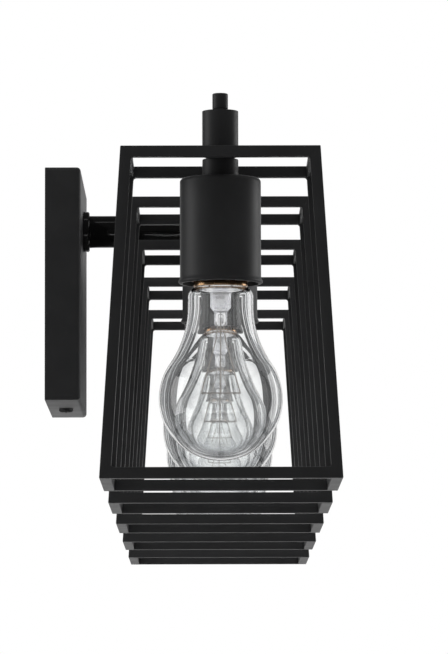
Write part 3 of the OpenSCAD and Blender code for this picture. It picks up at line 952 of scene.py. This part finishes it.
class VANITY_OT_cups(bpy.types.Operator):
    """Draw the socket cups and roll their lips"""

    bl_idname = "vanity.cups"
    bl_label = "Socket cups"

    def execute(self, context):
        sizes = context.scene.vanity_column
        low, top = span("socket_cup_1", "z")
        outer = half_size("socket_cup_1", "x") - sizes.lip_width
        inner = outer - sizes.cup_wall
        ceiling = top - sizes.cup_wall
        round_out = sizes.cup_round
        round_in = round_out - sizes.cup_wall
        lip = sizes.lip_height / 2
        flare_low, flare_high = low + 2.2 * lip, low + 3.4 * lip
        outline = arc((outer - round_out, top - round_out), round_out, 90, 0, 10)
        outline += [(outer, flare_high), (outer + 0.3 * sizes.lip_width, flare_low)]
        outline += arc((outer + sizes.lip_width - lip, low + lip), lip, 30, -90, 10)
        outline += [(inner, low)]
        outline += arc((inner - round_in, ceiling - round_in), round_in, 0, 90, 6)
        outline += [(nipple_hole(), ceiling), (nipple_hole(), top)]
        cup = turned(closed(outline), 128, FIRST)
        smooth(cup, 40)
        hand_over_all(cup, "drawn_cup_{}", "black_finish", "socket_cup_{}")
        return {"FINISHED"}


class VANITY_OT_glasses(bpy.types.Operator):
    """Blow the clear glass envelopes"""

    bl_idname = "vanity.glasses"
    bl_label = "Bulb glass"

    def execute(self, context):
        sizes = context.scene.vanity_bulb
        low, high = span("bulb_1_glass", "z")
        ball = half_size("bulb_1_glass", "x")
        hollow = sizes.shoulder_curve
        neck = sizes.neck_d / 2
        ball_z = low + ball
        curve_x = neck + hollow
        curve_z = ball_z + math.sqrt((ball + hollow) ** 2 - curve_x**2)
        lean = math.degrees(math.atan2(curve_z - ball_z, curve_x))
        end = sizes.neck_round
        steps = 24

        def skin(inset_ball, inset_neck):
            """One surface of the glass, from the bottom pole up to the end of the neck."""
            points = arc((0, ball_z), ball - inset_ball, -90, lean, 56)
            drift = (inset_ball - inset_neck) / hollow
            for k in range(1, steps + 1):
                turn = math.radians(180 + lean * (1 - k / steps))
                reach = hollow + inset_ball - drift * hollow * k / steps
                points.append((curve_x + reach * math.cos(turn), curve_z + reach * math.sin(turn)))
            return points + arc((neck - end, high - end), end - inset_neck, 0, 78, 12)

        outside = skin(0, 0)
        inside = skin(sizes.ball_wall, sizes.neck_wall)
        outline = [(max(r, 0), z) for r, z in outside + inside[::-1]]
        envelope = turned(outline, 128, FIRST)
        smooth(envelope, 50)
        hand_over_all(envelope, "envelope_{}", "clear_glass", "bulb_{}_glass", "bulb_{}")
        return {"FINISHED"}


class VANITY_OT_bases(bpy.types.Operator):
    """Roll the bulb bases"""

    bl_idname = "vanity.bases"
    bl_label = "Bulb bases"

    def execute(self, context):
        depth = context.scene.vanity_bulb.thread_depth
        pitch = context.scene.vanity_column.thread_pitch
        low, top = span("bulb_1_base", "z")
        crest = half_size("bulb_1_base", "x")
        inside = crest - depth - 0.5 * MM
        thread_low = low + 2.6 * MM
        thread_high = top - 7.2 * MM
        rings = round((thread_high - thread_low) / pitch * 12)
        rim = 0.4 * MM
        shoulder = 1.6 * MM
        outline = [(inside, low), (crest - rim, low)]
        outline += arc((crest - rim, low + rim), rim, -60, 0, 4)
        outline += [(crest, thread_low + (thread_high - thread_low) * k / rings) for k in range(rings + 1)]
        outline += arc((crest - depth - shoulder, thread_high + 0.9 * MM), shoulder, 0, 70, 6)
        outline += [(inside - 1.4 * MM, thread_high + 2.4 * MM), (inside, thread_high + 0.6 * MM)]
        shell = turned(closed(outline), 96)

        def thread(radius, turn, z):
            """The share of its radius that a point keeps under the rolled thread."""
            if radius < inside + 0.6 * depth or not thread_low <= z <= thread_high + 0.1 * MM:
                return 1
            wave = (1 - math.cos(FULL_TURN * (z - thread_low) / pitch - turn)) / 2
            run_in = min(1, (z - thread_low) / (pitch / 2))
            run_out = min(1, (thread_high - z) / (pitch / 2))
            return 1 - depth * (wave * min(run_in, run_out) + 1 - run_out) / radius

        press(shell, thread)
        shell.location = FIRST
        apply_place(shell)
        smooth(shell, 50)
        hand_over_all(shell, "base_shell_{}", "base_metal", "bulb_{}_base", "bulb_{}")

        shelf = top - 1.8 * MM
        cone = turned(closed([
            (0, thread_high + 0.9 * MM), (inside - 0.2 * MM, thread_high + 0.9 * MM),
            (inside - 1.2 * MM, thread_high + 2.3 * MM),
            (6.2 * MM, shelf - 0.4 * MM), (5.4 * MM, shelf), (0, shelf),
        ]), 64, FIRST)
        soften(cone, 0.3 * MM)
        hand_over_all(cone, "base_insulator_{}", "base_metal", body="bulb_{}", material="insulator")

        crown = 1.2 * MM
        sunk = top - 2.4 * MM
        button = turned(closed(
            [(0, sunk), (4.6 * MM, sunk), (3.6 * MM + crown, top - crown)]
            + arc((3.6 * MM, top - crown), crown, 0, 90, 6) + [(0, top)]
        ), 48, FIRST)
        smooth(button, 50)
        hand_over_all(button, "base_contact_{}", "base_metal", body="bulb_{}", material="zinc_steel")
        return {"FINISHED"}


class VANITY_OT_mounts(bpy.types.Operator):
    """Make the stems, lead wires and coiled filaments"""

    bl_idname = "vanity.mounts"
    bl_label = "Bulb stems and filaments"

    def execute(self, context):
        sizes = context.scene.vanity_bulb
        glass_low, glass_top = span("bulb_1_glass", "z")
        flare = half_size("bulb_1_mount", "x")
        stem = sizes.stem_d / 2
        wall = 0.9 * MM
        stem_low = glass_top - sizes.stem_length
        pinch_low = stem_low - sizes.pinch_length
        pinch = sizes.pinch_d / 2
        flare_z = glass_top - 0.8 * MM
        flare_fall = 1.6 * MM
        steps = 8
        shoulder = 1.6 * MM
        tip = 1 * MM
        outline = [(flare, glass_top), (flare, flare_z)]
        outline += [
            (stem + (flare - stem) * (1 - k / steps) ** 2, flare_z - flare_fall * k / steps)
            for k in range(1, steps + 1)
        ]
        outline += arc((stem - shoulder, stem_low + shoulder), shoulder, 0, -60, 6)
        outline += [(pinch, stem_low - 1.2 * MM), (pinch, pinch_low + tip)]
        outline += arc((pinch - tip, pinch_low + tip), tip, 0, -90, 6)
        outline += [(0, pinch_low), (0, stem_low), (stem - wall - 1.4 * MM, stem_low + 0.6 * MM)]
        outline += [(stem - wall, stem_low + 2.2 * MM), (stem - wall, glass_top - 2.6 * MM)]
        outline += [(flare - wall, glass_top - 0.9 * MM), (flare - wall, glass_top)]
        tube = turned(closed(outline), 64, FIRST)
        smooth(tube, 60)
        hand_over_all(tube, "glass_stem_{}", "stem_glass", "bulb_{}_mount", "bulb_{}")

        filament_z = glass_low + sizes.filament_rise
        leads = self.leads(pinch, pinch_low + 2 * MM, filament_z, sizes.filament_length / 2)
        hand_over_all(leads, "lead_wires_{}", "stem_glass", body="bulb_{}", material="tungsten")
        coil = self.coil(filament_z, sizes.filament_length, sizes.coil_turns)
        hand_over_all(coil, "filament_{}", "stem_glass", body="bulb_{}", material="tungsten")
        return {"FINISHED"}

    def leads(self, pinch, top, bottom, reach):
        """Two lead wires that splay from the pinch to the filament's ends, and its support."""
        straight = 3.5 * MM
        fall = top - straight - bottom
        wires = []
        for side in (-1, 0, 1):
            out = side * (reach - pinch / 2)
            wire = start(
                bpy.ops.mesh.primitive_circle_add, vertices=12, radius=0.3 * MM, fill_type="NGON",
                location=(FIRST[0], FIRST[1] + side * pinch / 2, top),
            )
            edit_all(wire)
            for move in ((0, 0, -straight), (0, 0.12 * out, -0.2 * fall), (0, 0.88 * out, -0.8 * fall)):
                bpy.ops.mesh.extrude_region_move(TRANSFORM_OT_translate={"value": move})
            face_outwards()
            wires.append(wire)
        clear_selection()
        for wire in wires:
            wire.select_set(True)
        bpy.context.view_layer.objects.active = wires[0]
        bpy.ops.object.join()
        smooth(wires[0], 50)
        return wires[0]

    def coil(self, height, length, turns):
        """The filament: a fine wire wound round the Y axis."""
        wire = start(
            bpy.ops.mesh.primitive_circle_add, vertices=6, radius=0.13 * MM,
            location=(0.5 * MM, 0, 0), rotation=LYING,
        )
        apply_modifier(
            wire, "SCREW", axis="Z", angle=FULL_TURN, screw_offset=length / turns, iterations=turns,
            steps=10, render_steps=10, use_smooth_shade=True,
        )
        edit_all(wire)
        bpy.ops.mesh.select_all(action="DESELECT")
        bpy.ops.mesh.select_non_manifold()
        bpy.ops.mesh.edge_face_add()
        bpy.ops.mesh.select_all(action="SELECT")
        bpy.ops.transform.translate(value=(0, 0, -length / 2))
        bpy.ops.transform.rotate(value=math.pi / 2, orient_axis="X", center_override=(0, 0, 0))
        bpy.ops.transform.translate(value=(FIRST[0], FIRST[1], height))
        face_outwards()
        return wire


class VANITY_OT_arm(bpy.types.Operator):
    """Make the arm, its collar and spigot, and the rail's tubes"""

    bl_idname = "vanity.arm"
    bl_label = "Arm and rail"

    def execute(self, context):
        sizes = context.scene.vanity_fittings
        axis = (0, 0, middle("arm_tube").z)
        radius = half_size("arm_tube", "x")
        inside = radius - sizes.tube_wall
        arm_front, arm_back = span("arm_tube", "y")
        tube = pipe(radius, inside, arm_front, arm_back, axis, "Y")
        soften(tube, sizes.edge)
        hand_over(tube, "arm_tube_drawn", "black_gloss", "arm_tube")

        front, back = span("arm_collar", "y")
        rim = half_size("arm_collar", "x")
        edge = 1.2 * MM
        chamfer = 0.3 * MM
        bore = radius + CLEARANCE
        outline = [(bore, back), (rim - chamfer, back), (rim, back - chamfer)]
        outline += arc((rim - edge, front + edge), edge, 0, -90, 8)
        outline += [(bore + chamfer, front), (bore, front + chamfer)]
        collar = turned(closed(outline), 96, axis, "Y")
        smooth(collar, 40)
        hand_over(collar, "arm_collar_turned", "black_gloss", "arm_collar")

        tip, plug = span("arm_spigot", "y")
        flange = arm_front - 2 * MM
        stem = sizes.spigot / 2
        bore = sizes.spigot_bore / 2
        fit = inside - CLEARANCE
        spigot = turned(closed([
            (bore, tip), (stem, tip), (stem, flange), (radius, flange),
            (radius, arm_front), (fit, arm_front), (fit, plug), (bore, plug),
        ]), 64, axis, "Y")
        soften(spigot, sizes.edge)
        hand_over(spigot, "arm_spigot_turned", "black_finish", "arm_spigot")

        for k in LIGHTS[:-1]:
            name = f"rail_tube_{k}"
            outer = half_size(name, "z")
            place = (0, *middle(name).yz)
            rail = pipe(outer, outer - sizes.rail_wall, *span(name, "x"), place, "X")
            soften(rail, sizes.fine_edge)
            hand_over(rail, f"rail_tube_drawn_{k}", "black_finish", name)
        return {"FINISHED"}


class VANITY_OT_plate(bpy.types.Operator):
    """Press the backplate, fold the bracket and turn their screws"""

    bl_idname = "vanity.plate"
    bl_label = "Backplate and bracket"

    def execute(self, context):
        sizes = context.scene.vanity_fittings
        hole = half_size("arm_nipple", "x") + CLEARANCE
        low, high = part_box("backplate")
        wall = sizes.plate_wall
        plate = self.pan(low, high, sizes.plate_round, 6)
        inner_low = low + Vector((wall, wall, wall))
        inner_high = Vector((high.x - wall, high.y + 2 * MM, high.z - wall))
        combine(plate, self.pan(inner_low, inner_high, sizes.plate_round - wall, 3))
        combine(plate, rod((0, low.y, middle("arm_tube").z), 2 * hole, 8 * MM, LYING, 48))
        screw_y = (low.y + high.y) / 2
        combine(plate, self.screw_drill(sizes, screw_y, high.z))
        smooth(plate, 25)
        hand_over(plate, "backplate_pressed", "black_finish", "backplate")
        self.bracket(sizes, hole, screw_y)
        self.plate_screws(sizes, screw_y, high.z)
        self.ground_screw(sizes)
        return {"FINISHED"}

    def pan(self, low, high, radius, segments):
        """A block with its edges rounded, but for those against the wall."""
        made = block(low, high)
        round_edges(made, lambda middle, way: middle.y < high.y - 0.1 * MM, radius, segments)
        return made

    def screw_drill(self, sizes, y, top):
        """The rod that leaves the holes for the screws above and below."""
        return rod((0, y, 0), sizes.screw + 2 * CLEARANCE, 2 * top + 8 * MM, sides=32)

    def bracket(self, sizes, hole, screw_y):
        """The strip with its folded ears, slots and holes."""
        low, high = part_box("mounting_bracket")
        sheet = sizes.sheet
        strip = block(low, high)
        outer = high.y - 0.1 * MM
        round_edges(strip, lambda middle, way: along_x(way) and middle.y > outer, 0.9 * sheet, 4)
        beyond = 5 * MM
        inner = block(
            (low.x - beyond, low.y - beyond, low.z + sheet),
            (high.x + beyond, high.y - sheet, high.z - sheet),
        )
        fold = high.y - 1.5 * sheet
        round_edges(inner, lambda middle, way: along_x(way) and middle.y > fold, 0.4 * sheet, 3)
        combine(strip, inner)
        through = 2 * beyond
        half = (sizes.slot_length - sizes.slot_width) / 2
        wide = sizes.slot_width / 2
        for spacing in (sizes.wide_slots, sizes.close_slots):
            for z in (-spacing / 2, spacing / 2):
                combine(strip, block((-wide, -beyond, z - half), (wide, beyond, z + half)))
                for end in (-half, half):
                    combine(strip, rod((0, 0, z + end), sizes.slot_width, through, LYING, 32))
        combine(strip, rod((0, 0, 0), 2 * hole, through, LYING, 48))
        ground = middle("ground_screw")
        combine(strip, rod((ground.x, 0, ground.z), sizes.ground_hole, through, LYING, 32))
        combine(strip, self.screw_drill(sizes, screw_y, high.z))
        soften(strip, sizes.fine_edge, 2, 60)
        hand_over(strip, "bracket_folded", "zinc_steel", "mounting_bracket")

    def plate_screws(self, sizes, screw_y, seat):
        """Pan-head screws above and below the backplate."""
        top = span("backplate_screws", "z")[1]
        head = half_size("backplate_screws", "x")
        shank = sizes.screw / 2
        tip = seat - 6.2 * MM
        crown = 1.3 * MM
        outline = [(0, tip), (shank - 0.8 * MM, tip)]
        outline += ridged(shank, 0.35 * MM, 0.7 * MM, tip + 0.5 * MM, seat - 0.2 * MM)
        outline += [(head, seat), (head, seat + 0.7 * MM)]
        outline += arc((head - crown, top - crown), crown, 0, 90, 6) + [(0, top)]
        screw = turned(outline, 48)
        cross_recess(screw, top, 4.4 * MM, 1.1 * MM)
        smooth(screw, 35)
        upper, lower = copies(screw, [(0, screw_y, 0)] * 2)
        pick(lower)
        bpy.ops.transform.mirror(constraint_axis=(False, False, True), center_override=(0, 0, 0))
        apply_place(lower)
        edit_all(lower)
        face_outwards()
        hand_over(upper, "plate_screw_upper", "black_finish", "backplate_screws")
        hand_over(lower, "plate_screw_lower", "black_finish", "backplate_screws")

    def ground_screw(self, sizes):
        """The green ground screw, with a slot across its head."""
        front, tip = span("ground_screw", "y")
        head = half_size("ground_screw", "x")
        centre = middle("ground_screw")
        seat = tip - sizes.sheet
        edge = 0.8 * MM
        thread = ridged(2 * MM, 0.3 * MM, 0.6 * MM, seat, tip - 0.3 * MM)
        outline = [(0, tip), (1.4 * MM, tip)] + thread[::-1]
        outline += [(head, seat), (head, front + edge), (head - edge, front), (0, front)]
        ground = turned(outline, 48, (centre.x, 0, centre.z), "Y")
        deep, wide = 1 * MM, 0.5 * MM
        combine(ground, block(
            (centre.x - head, front - deep, centre.z - wide),
            (centre.x + head, front + deep, centre.z + wide),
        ))
        smooth(ground, 35)
        hand_over(ground, "ground_screw_turned", "green_steel", "ground_screw")


class VANITY_OT_fittings(bpy.types.Operator):
    """Make the nipples, nuts and wire connectors"""

    bl_idname = "vanity.fittings"
    bl_label = "Nipples, nuts and connectors"

    def execute(self, context):
        sizes = context.scene.vanity_fittings
        bore = sizes.nipple_bore / 2
        radius = half_size("threaded_nipples", "y")
        nipple = self.threaded(radius, bore, *span("threaded_nipples", "z"), FIRST)
        hand_over_all(nipple, "nipple_threaded_{}", "zinc_steel", "threaded_nipples")
        nut = hex_nut(sizes.nut_flats, nipple_hole(), *span("nipple_nuts", "z"), FIRST)
        hand_over_all(nut, "nipple_nut_{}", "zinc_steel", "nipple_nuts")

        axis = (0, 0, middle("arm_tube").z)
        stud = self.threaded(radius, bore, *span("arm_nipple", "y"), axis, "Y")
        hand_over(stud, "arm_nipple_threaded", "zinc_steel", "arm_nipple")
        lock = hex_nut(sizes.nut_flats, nipple_hole(), *span("arm_locknut", "y"), axis, "Y")
        hand_over(lock, "arm_locknut_chamfered", "zinc_steel", "arm_locknut")
        rim = half_size("arm_end_plug", "x")
        plug = pipe(rim, nipple_hole(), *span("arm_end_plug", "y"), axis, "Y")
        soften(plug, context.scene.vanity_column.edge)
        hand_over(plug, "arm_plug_turned", "zinc_steel", "arm_end_plug")
        self.connectors()
        return {"FINISHED"}

    def threaded(self, radius, bore, low, high, place, axis="Z"):
        """A tube with a thread down its whole length."""
        thread = ridged(radius, 0.35 * MM, 0.9 * MM, low, high)
        piece = turned(closed([(bore, low)] + thread + [(bore, high)]), 48, place, axis)
        smooth(piece, 20)
        return piece

    def connectors(self):
        """Twist-on connectors: tapered caps with grip ribs round a skirt."""
        low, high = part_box("wire_connectors")
        wide = 5 * MM
        bottom = -18 * MM
        wire = 0.9 * MM
        taken_in = 8 * MM
        hot_top = span("hot_wires", "z")[0] + wire + taken_in
        ground_low, ground_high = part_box("ground_wire")
        tops = [
            (low.x + wide, hot_top), (high.x - wide, hot_top),
            (ground_high.x - wire, ground_low.z + wire + taken_in),
        ]
        tip, mouth = 1.2 * MM, 1 * MM
        outline = [(0, bottom)] + arc((1.9 * MM, bottom + tip), tip, -90, -10, 5)
        outline += [(4.1 * MM, -6 * MM), (wide, -5.2 * MM), (wide, -0.5 * MM), (wide - 0.5 * MM, 0)]
        outline += [(mouth, 0), (mouth, -8.9 * MM), (0, -8.9 * MM)]
        cap = turned(outline, 72)
        ribs, rib_depth = 12, 0.07

        def grip(radius, turn, z):
            """The share of its radius that a point keeps under the ribs."""
            if radius < 2.2 * MM or not -16 * MM < z < -1 * MM:
                return 1
            return 1 - rib_depth * (1 - math.cos(ribs * turn)) / 2

        press(cap, grip)
        smooth(cap, 40)
        offsets = [(x, (low.y + high.y) / 2, z) for x, z in tops]
        for k, piece in enumerate(copies(cap, offsets), 1):
            hand_over(piece, f"twist_connector_{k}", "connector_shell", "wire_connectors")


class VANITY_OT_holders(bpy.types.Operator):
    """Mould the lampholders and roll their screw shells and contacts"""

    bl_idname = "vanity.holders"
    bl_label = "Lampholders"

    def execute(self, context):
        sizes = context.scene.vanity_fittings
        turns = context.scene.vanity_column
        low, top = span("lampholder_1", "z")
        radius = half_size("lampholder_1", "x")
        shell_low, shell_high = span("screw_shells", "z")
        shell = half_size("screw_shells", "y")
        tongue_low, tongue_high = span("contact_tongues", "z")
        nipple_low = span("threaded_nipples", "z")[0]
        bore = sizes.nipple_bore / 2
        wiring = nipple_low - 5 * MM
        well = shell + CLEARANCE
        ring = top - 16 * MM
        step = 0.6 * MM
        shoulder = 2.4 * MM
        outline = [(0, tongue_high), (well, tongue_high), (well, low + step)]
        outline += [(well + step, low), (radius - step, low), (radius, low + step)]
        outline += [(radius, ring), (radius - step, ring + step), (radius - step, ring + 3 * step)]
        outline += [(radius, ring + 4 * step), (radius, top - shoulder), (radius - shoulder, top)]
        outline += [(nipple_hole(), top), (nipple_hole(), nipple_low), (bore, nipple_low)]
        outline += [(bore, wiring), (0, wiring)]
        body = turned(outline, 96, FIRST)
        soften(body, sizes.fine_edge)
        hand_over_all(body, "holder_body_{}", "phenolic", "lampholder_{}")

        rings = round((shell_high - shell_low) / turns.thread_pitch * 10)
        heights = [shell_low + (shell_high - shell_low) * k / rings for k in range(rings + 1)]

        def rolled(z):
            """How far the thread is rolled in at a height."""
            return turns.shell_roll * (1 - math.cos(FULL_TURN * (z - shell_low) / turns.thread_pitch)) / 2

        skin = [(shell - rolled(z), z) for z in heights]
        lining = [(shell - 0.5 * MM - rolled(z), z) for z in heights]
        sleeve = turned(closed(skin + lining[::-1]), 96, FIRST)
        smooth(sleeve, 50)
        hand_over_all(sleeve, "screw_shell_{}", "brass", "screw_shells")

        x, y = column(LIGHTS[0])
        half_x, half_y = 8 * MM, half_size("contact_tongues", "y")
        strip = block(
            (x - half_x, y - half_y, tongue_high - 0.8 * MM), (x + half_x, y + half_y, tongue_high)
        )
        dimple, neck = 1 * MM, tongue_high - 0.4 * MM
        combine(strip, turned(
            [(0, tongue_low)] + arc((1.6 * MM, tongue_low + dimple), dimple, -90, 0, 5)
            + [(2.8 * MM, neck), (0, neck)], 48, FIRST
        ), "UNION")
        soften(strip, 0.25 * MM)
        hand_over_all(strip, "contact_tongue_{}", "brass", "contact_tongues")
        return {"FINISHED"}


BOUNCES = 48
LAMP_TARGET = Vector((0, -0.098, -0.05))
LAMPS = (  # name, place, width and height in metres, watts, and whether it shows in reflections
    ("Left soft box", (-0.30, 1.55, 0.05), 0.9, 1.5, 13, True),
    ("Right soft box", (0.65, -1.70, 0.05), 0.9, 1.5, 13, True),
    ("Top soft box", (-0.2, -0.3, 1.6), 1.4, 1.4, 16, False),
    ("Low front strip", (-1.35, -0.098, -0.61), 1.2, 0.10, 1.0, True),
    ("High front strip", (-0.53, -0.098, 1.45), 1.2, 0.10, 0.5, True),
)


class VANITY_OT_stage(bpy.types.Operator):
    """Set up the camera, lamps, floor and background"""

    bl_idname = "vanity.stage"
    bl_label = "Stage"

    def execute(self, context):
        stage = context.scene.vanity_stage
        scene = context.scene
        scene.view_settings.view_transform = "Standard"
        for bounces in ("max_bounces", "transmission_bounces", "transparent_max_bounces"):
            setattr(scene.cycles, bounces, BOUNCES)
        self.camera(scene, stage)
        self.lamps()
        self.floor(stage)
        self.background(scene, stage)
        return {"FINISHED"}

    def put_up(self, data, place, turn):
        """Adds a lamp or camera to the scene at its place and turn."""
        made = bpy.data.objects.new(data.name, data)
        bpy.context.scene.collection.objects.link(made)
        made.location = place
        made.rotation_mode = "QUATERNION"
        made.rotation_quaternion = turn
        return made

    def camera(self, scene, stage):
        """The camera, at the photograph's angle."""
        data = bpy.data.cameras.new("Camera")
        data.lens = stage.lens
        data.sensor_width = 36
        data.clip_end = 100
        ahead = Vector((
            math.cos(stage.pitch) * math.cos(stage.yaw),
            -math.cos(stage.pitch) * math.sin(stage.yaw),
            math.sin(stage.pitch),
        ))
        turn = ahead.to_track_quat("-Z", "Y") @ Quaternion((0, 0, 1), stage.roll)
        scene.camera = self.put_up(data, stage.camera_place, turn)

    def lamps(self):
        """Soft boxes at the sides and above, and two narrow strips that line the round pieces."""
        for name, place, width, height, watts, mirrored in LAMPS:
            data = bpy.data.lights.new(name, "AREA")
            data.shape = "RECTANGLE"
            data.size = width
            data.size_y = height
            data.energy = watts
            lamp = self.put_up(data, place, (LAMP_TARGET - Vector(place)).to_track_quat("-Z", "Y"))
            lamp.visible_camera = False
            lamp.visible_transmission = False
            lamp.visible_glossy = mirrored

    def floor(self, stage):
        """A pale round floor that fades out at its rim and keeps the shadow."""
        centre = (0, -0.1, CAD_BOX[0][2] - stage.floor_drop)
        floor = start(
            bpy.ops.mesh.primitive_circle_add, vertices=96, radius=3, fill_type="NGON", location=centre
        )
        floor.name = floor.data.name = "floor"
        material, tree, shader = new_material("Pale floor")
        place = object_place(tree)
        reach = node(tree, "ShaderNodeVectorMath", {0: place, 1: centre}, operation="DISTANCE")
        fade_from, fade_to = 0.8, 2.6
        far = spread(tree, reach.outputs["Value"], fade_from, fade_to)
        speck = spread(tree, noise(tree, place, 90.0, 3.0), 0.3, 0.7, 0.86, 0.9)
        tone = node(tree, "ShaderNodeCombineColor", {0: speck, 1: speck, 2: speck}).outputs[0]
        fill(tree, shader, Base_Color=tone, Roughness=0.7)
        clear = node(tree, "ShaderNodeBsdfTransparent").outputs[0]
        below = node(tree, "ShaderNodeNewGeometry").outputs["Backfacing"]
        gone = maths(tree, "MAXIMUM", far, below)
        show(tree, gone, shader, clear)
        dress(floor, material)
        floor.visible_glossy = False
        floor.visible_transmission = False

    def background(self, scene, stage):
        """A white background to the camera and through glass, and as a card in reflections."""
        world = bpy.data.worlds.new("Studio")
        world.use_nodes = True
        scene.world = world
        tree = world.node_tree
        path = node(tree, "ShaderNodeLightPath").outputs
        way = node(tree, "ShaderNodeTexCoord").outputs["Generated"]
        ahead = node(tree, "ShaderNodeVectorMath", {0: way, 1: (1, 0, 0)}, operation="DOT_PRODUCT")
        edge = math.cos(stage.backdrop_angle)
        blur = 0.04
        dim = 0.06
        card = spread(tree, ahead.outputs["Value"], edge - blur, edge + blur, dim, 1.0)
        seen = maths(tree, "MAXIMUM", path["Is Camera Ray"], path["Is Transmission Ray"])
        mirrored = maths(tree, "MULTIPLY", path["Is Glossy Ray"], card)
        white = maths(tree, "MAXIMUM", seen, mirrored)
        plain = maths(tree, "SUBTRACT", 1.0, maths(tree, "MAXIMUM", seen, path["Is Glossy Ray"]))
        even = maths(tree, "MULTIPLY", plain, stage.ambient)
        background = tree.nodes["Background"]
        background.inputs["Color"].default_value = (1, 1, 1, 1)
        linked(tree, background.inputs["Strength"], maths(tree, "ADD", white, even))


class VANITY_OT_finishes(bpy.types.Operator):
    """Give every carried-over part its finish"""

    bl_idname = "vanity.finishes"
    bl_label = "Finishes of the remaining parts"

    def execute(self, context):
        for part in frame["record"]["subparts"]:
            dress(frame["nodes"][part["node"]], finish(part["material_slot"]))
        return {"FINISHED"}


class VANITY_PT_panel(bpy.types.Panel):
    """Lists the steps that make the light"""

    bl_idname = "VANITY_PT_panel"
    bl_label = "Vanity light"
    bl_space_type = "VIEW_3D"
    bl_region_type = "UI"
    bl_category = "Vanity light"

    def draw(self, context):
        for operator in OPERATORS:
            self.layout.operator(operator.bl_idname)


SETTINGS = {
    "vanity_cage": CageSettings,
    "vanity_column": ColumnSettings,
    "vanity_bulb": BulbSettings,
    "vanity_fittings": FittingSettings,
    "vanity_finish": FinishSettings,
    "vanity_stage": StageSettings,
}
OPERATORS = (
    VANITY_OT_cages,
    VANITY_OT_couplings,
    VANITY_OT_knobs,
    VANITY_OT_spacers,
    VANITY_OT_cups,
    VANITY_OT_glasses,
    VANITY_OT_bases,
    VANITY_OT_mounts,
    VANITY_OT_arm,
    VANITY_OT_plate,
    VANITY_OT_fittings,
    VANITY_OT_holders,
    VANITY_OT_finishes,
    VANITY_OT_stage,
)


def register():
    """Registers the settings, operators and panel."""
    for name, settings in SETTINGS.items():
        bpy.utils.register_class(settings)
        setattr(bpy.types.Scene, name, PointerProperty(type=settings))
    for made in (*OPERATORS, VANITY_PT_panel):
        bpy.utils.register_class(made)


def unregister():
    """Removes what register added."""
    for made in (VANITY_PT_panel, *reversed(OPERATORS)):
        bpy.utils.unregister_class(made)
    for name, settings in reversed(SETTINGS.items()):
        delattr(bpy.types.Scene, name)
        bpy.utils.unregister_class(settings)


def main():
    """Makes every piece and the stage."""
    register()
    for operator in OPERATORS:
        group, name = operator.bl_idname.split(".")
        getattr(getattr(bpy.ops, group), name)()


if __name__ == "__main__":
    main()
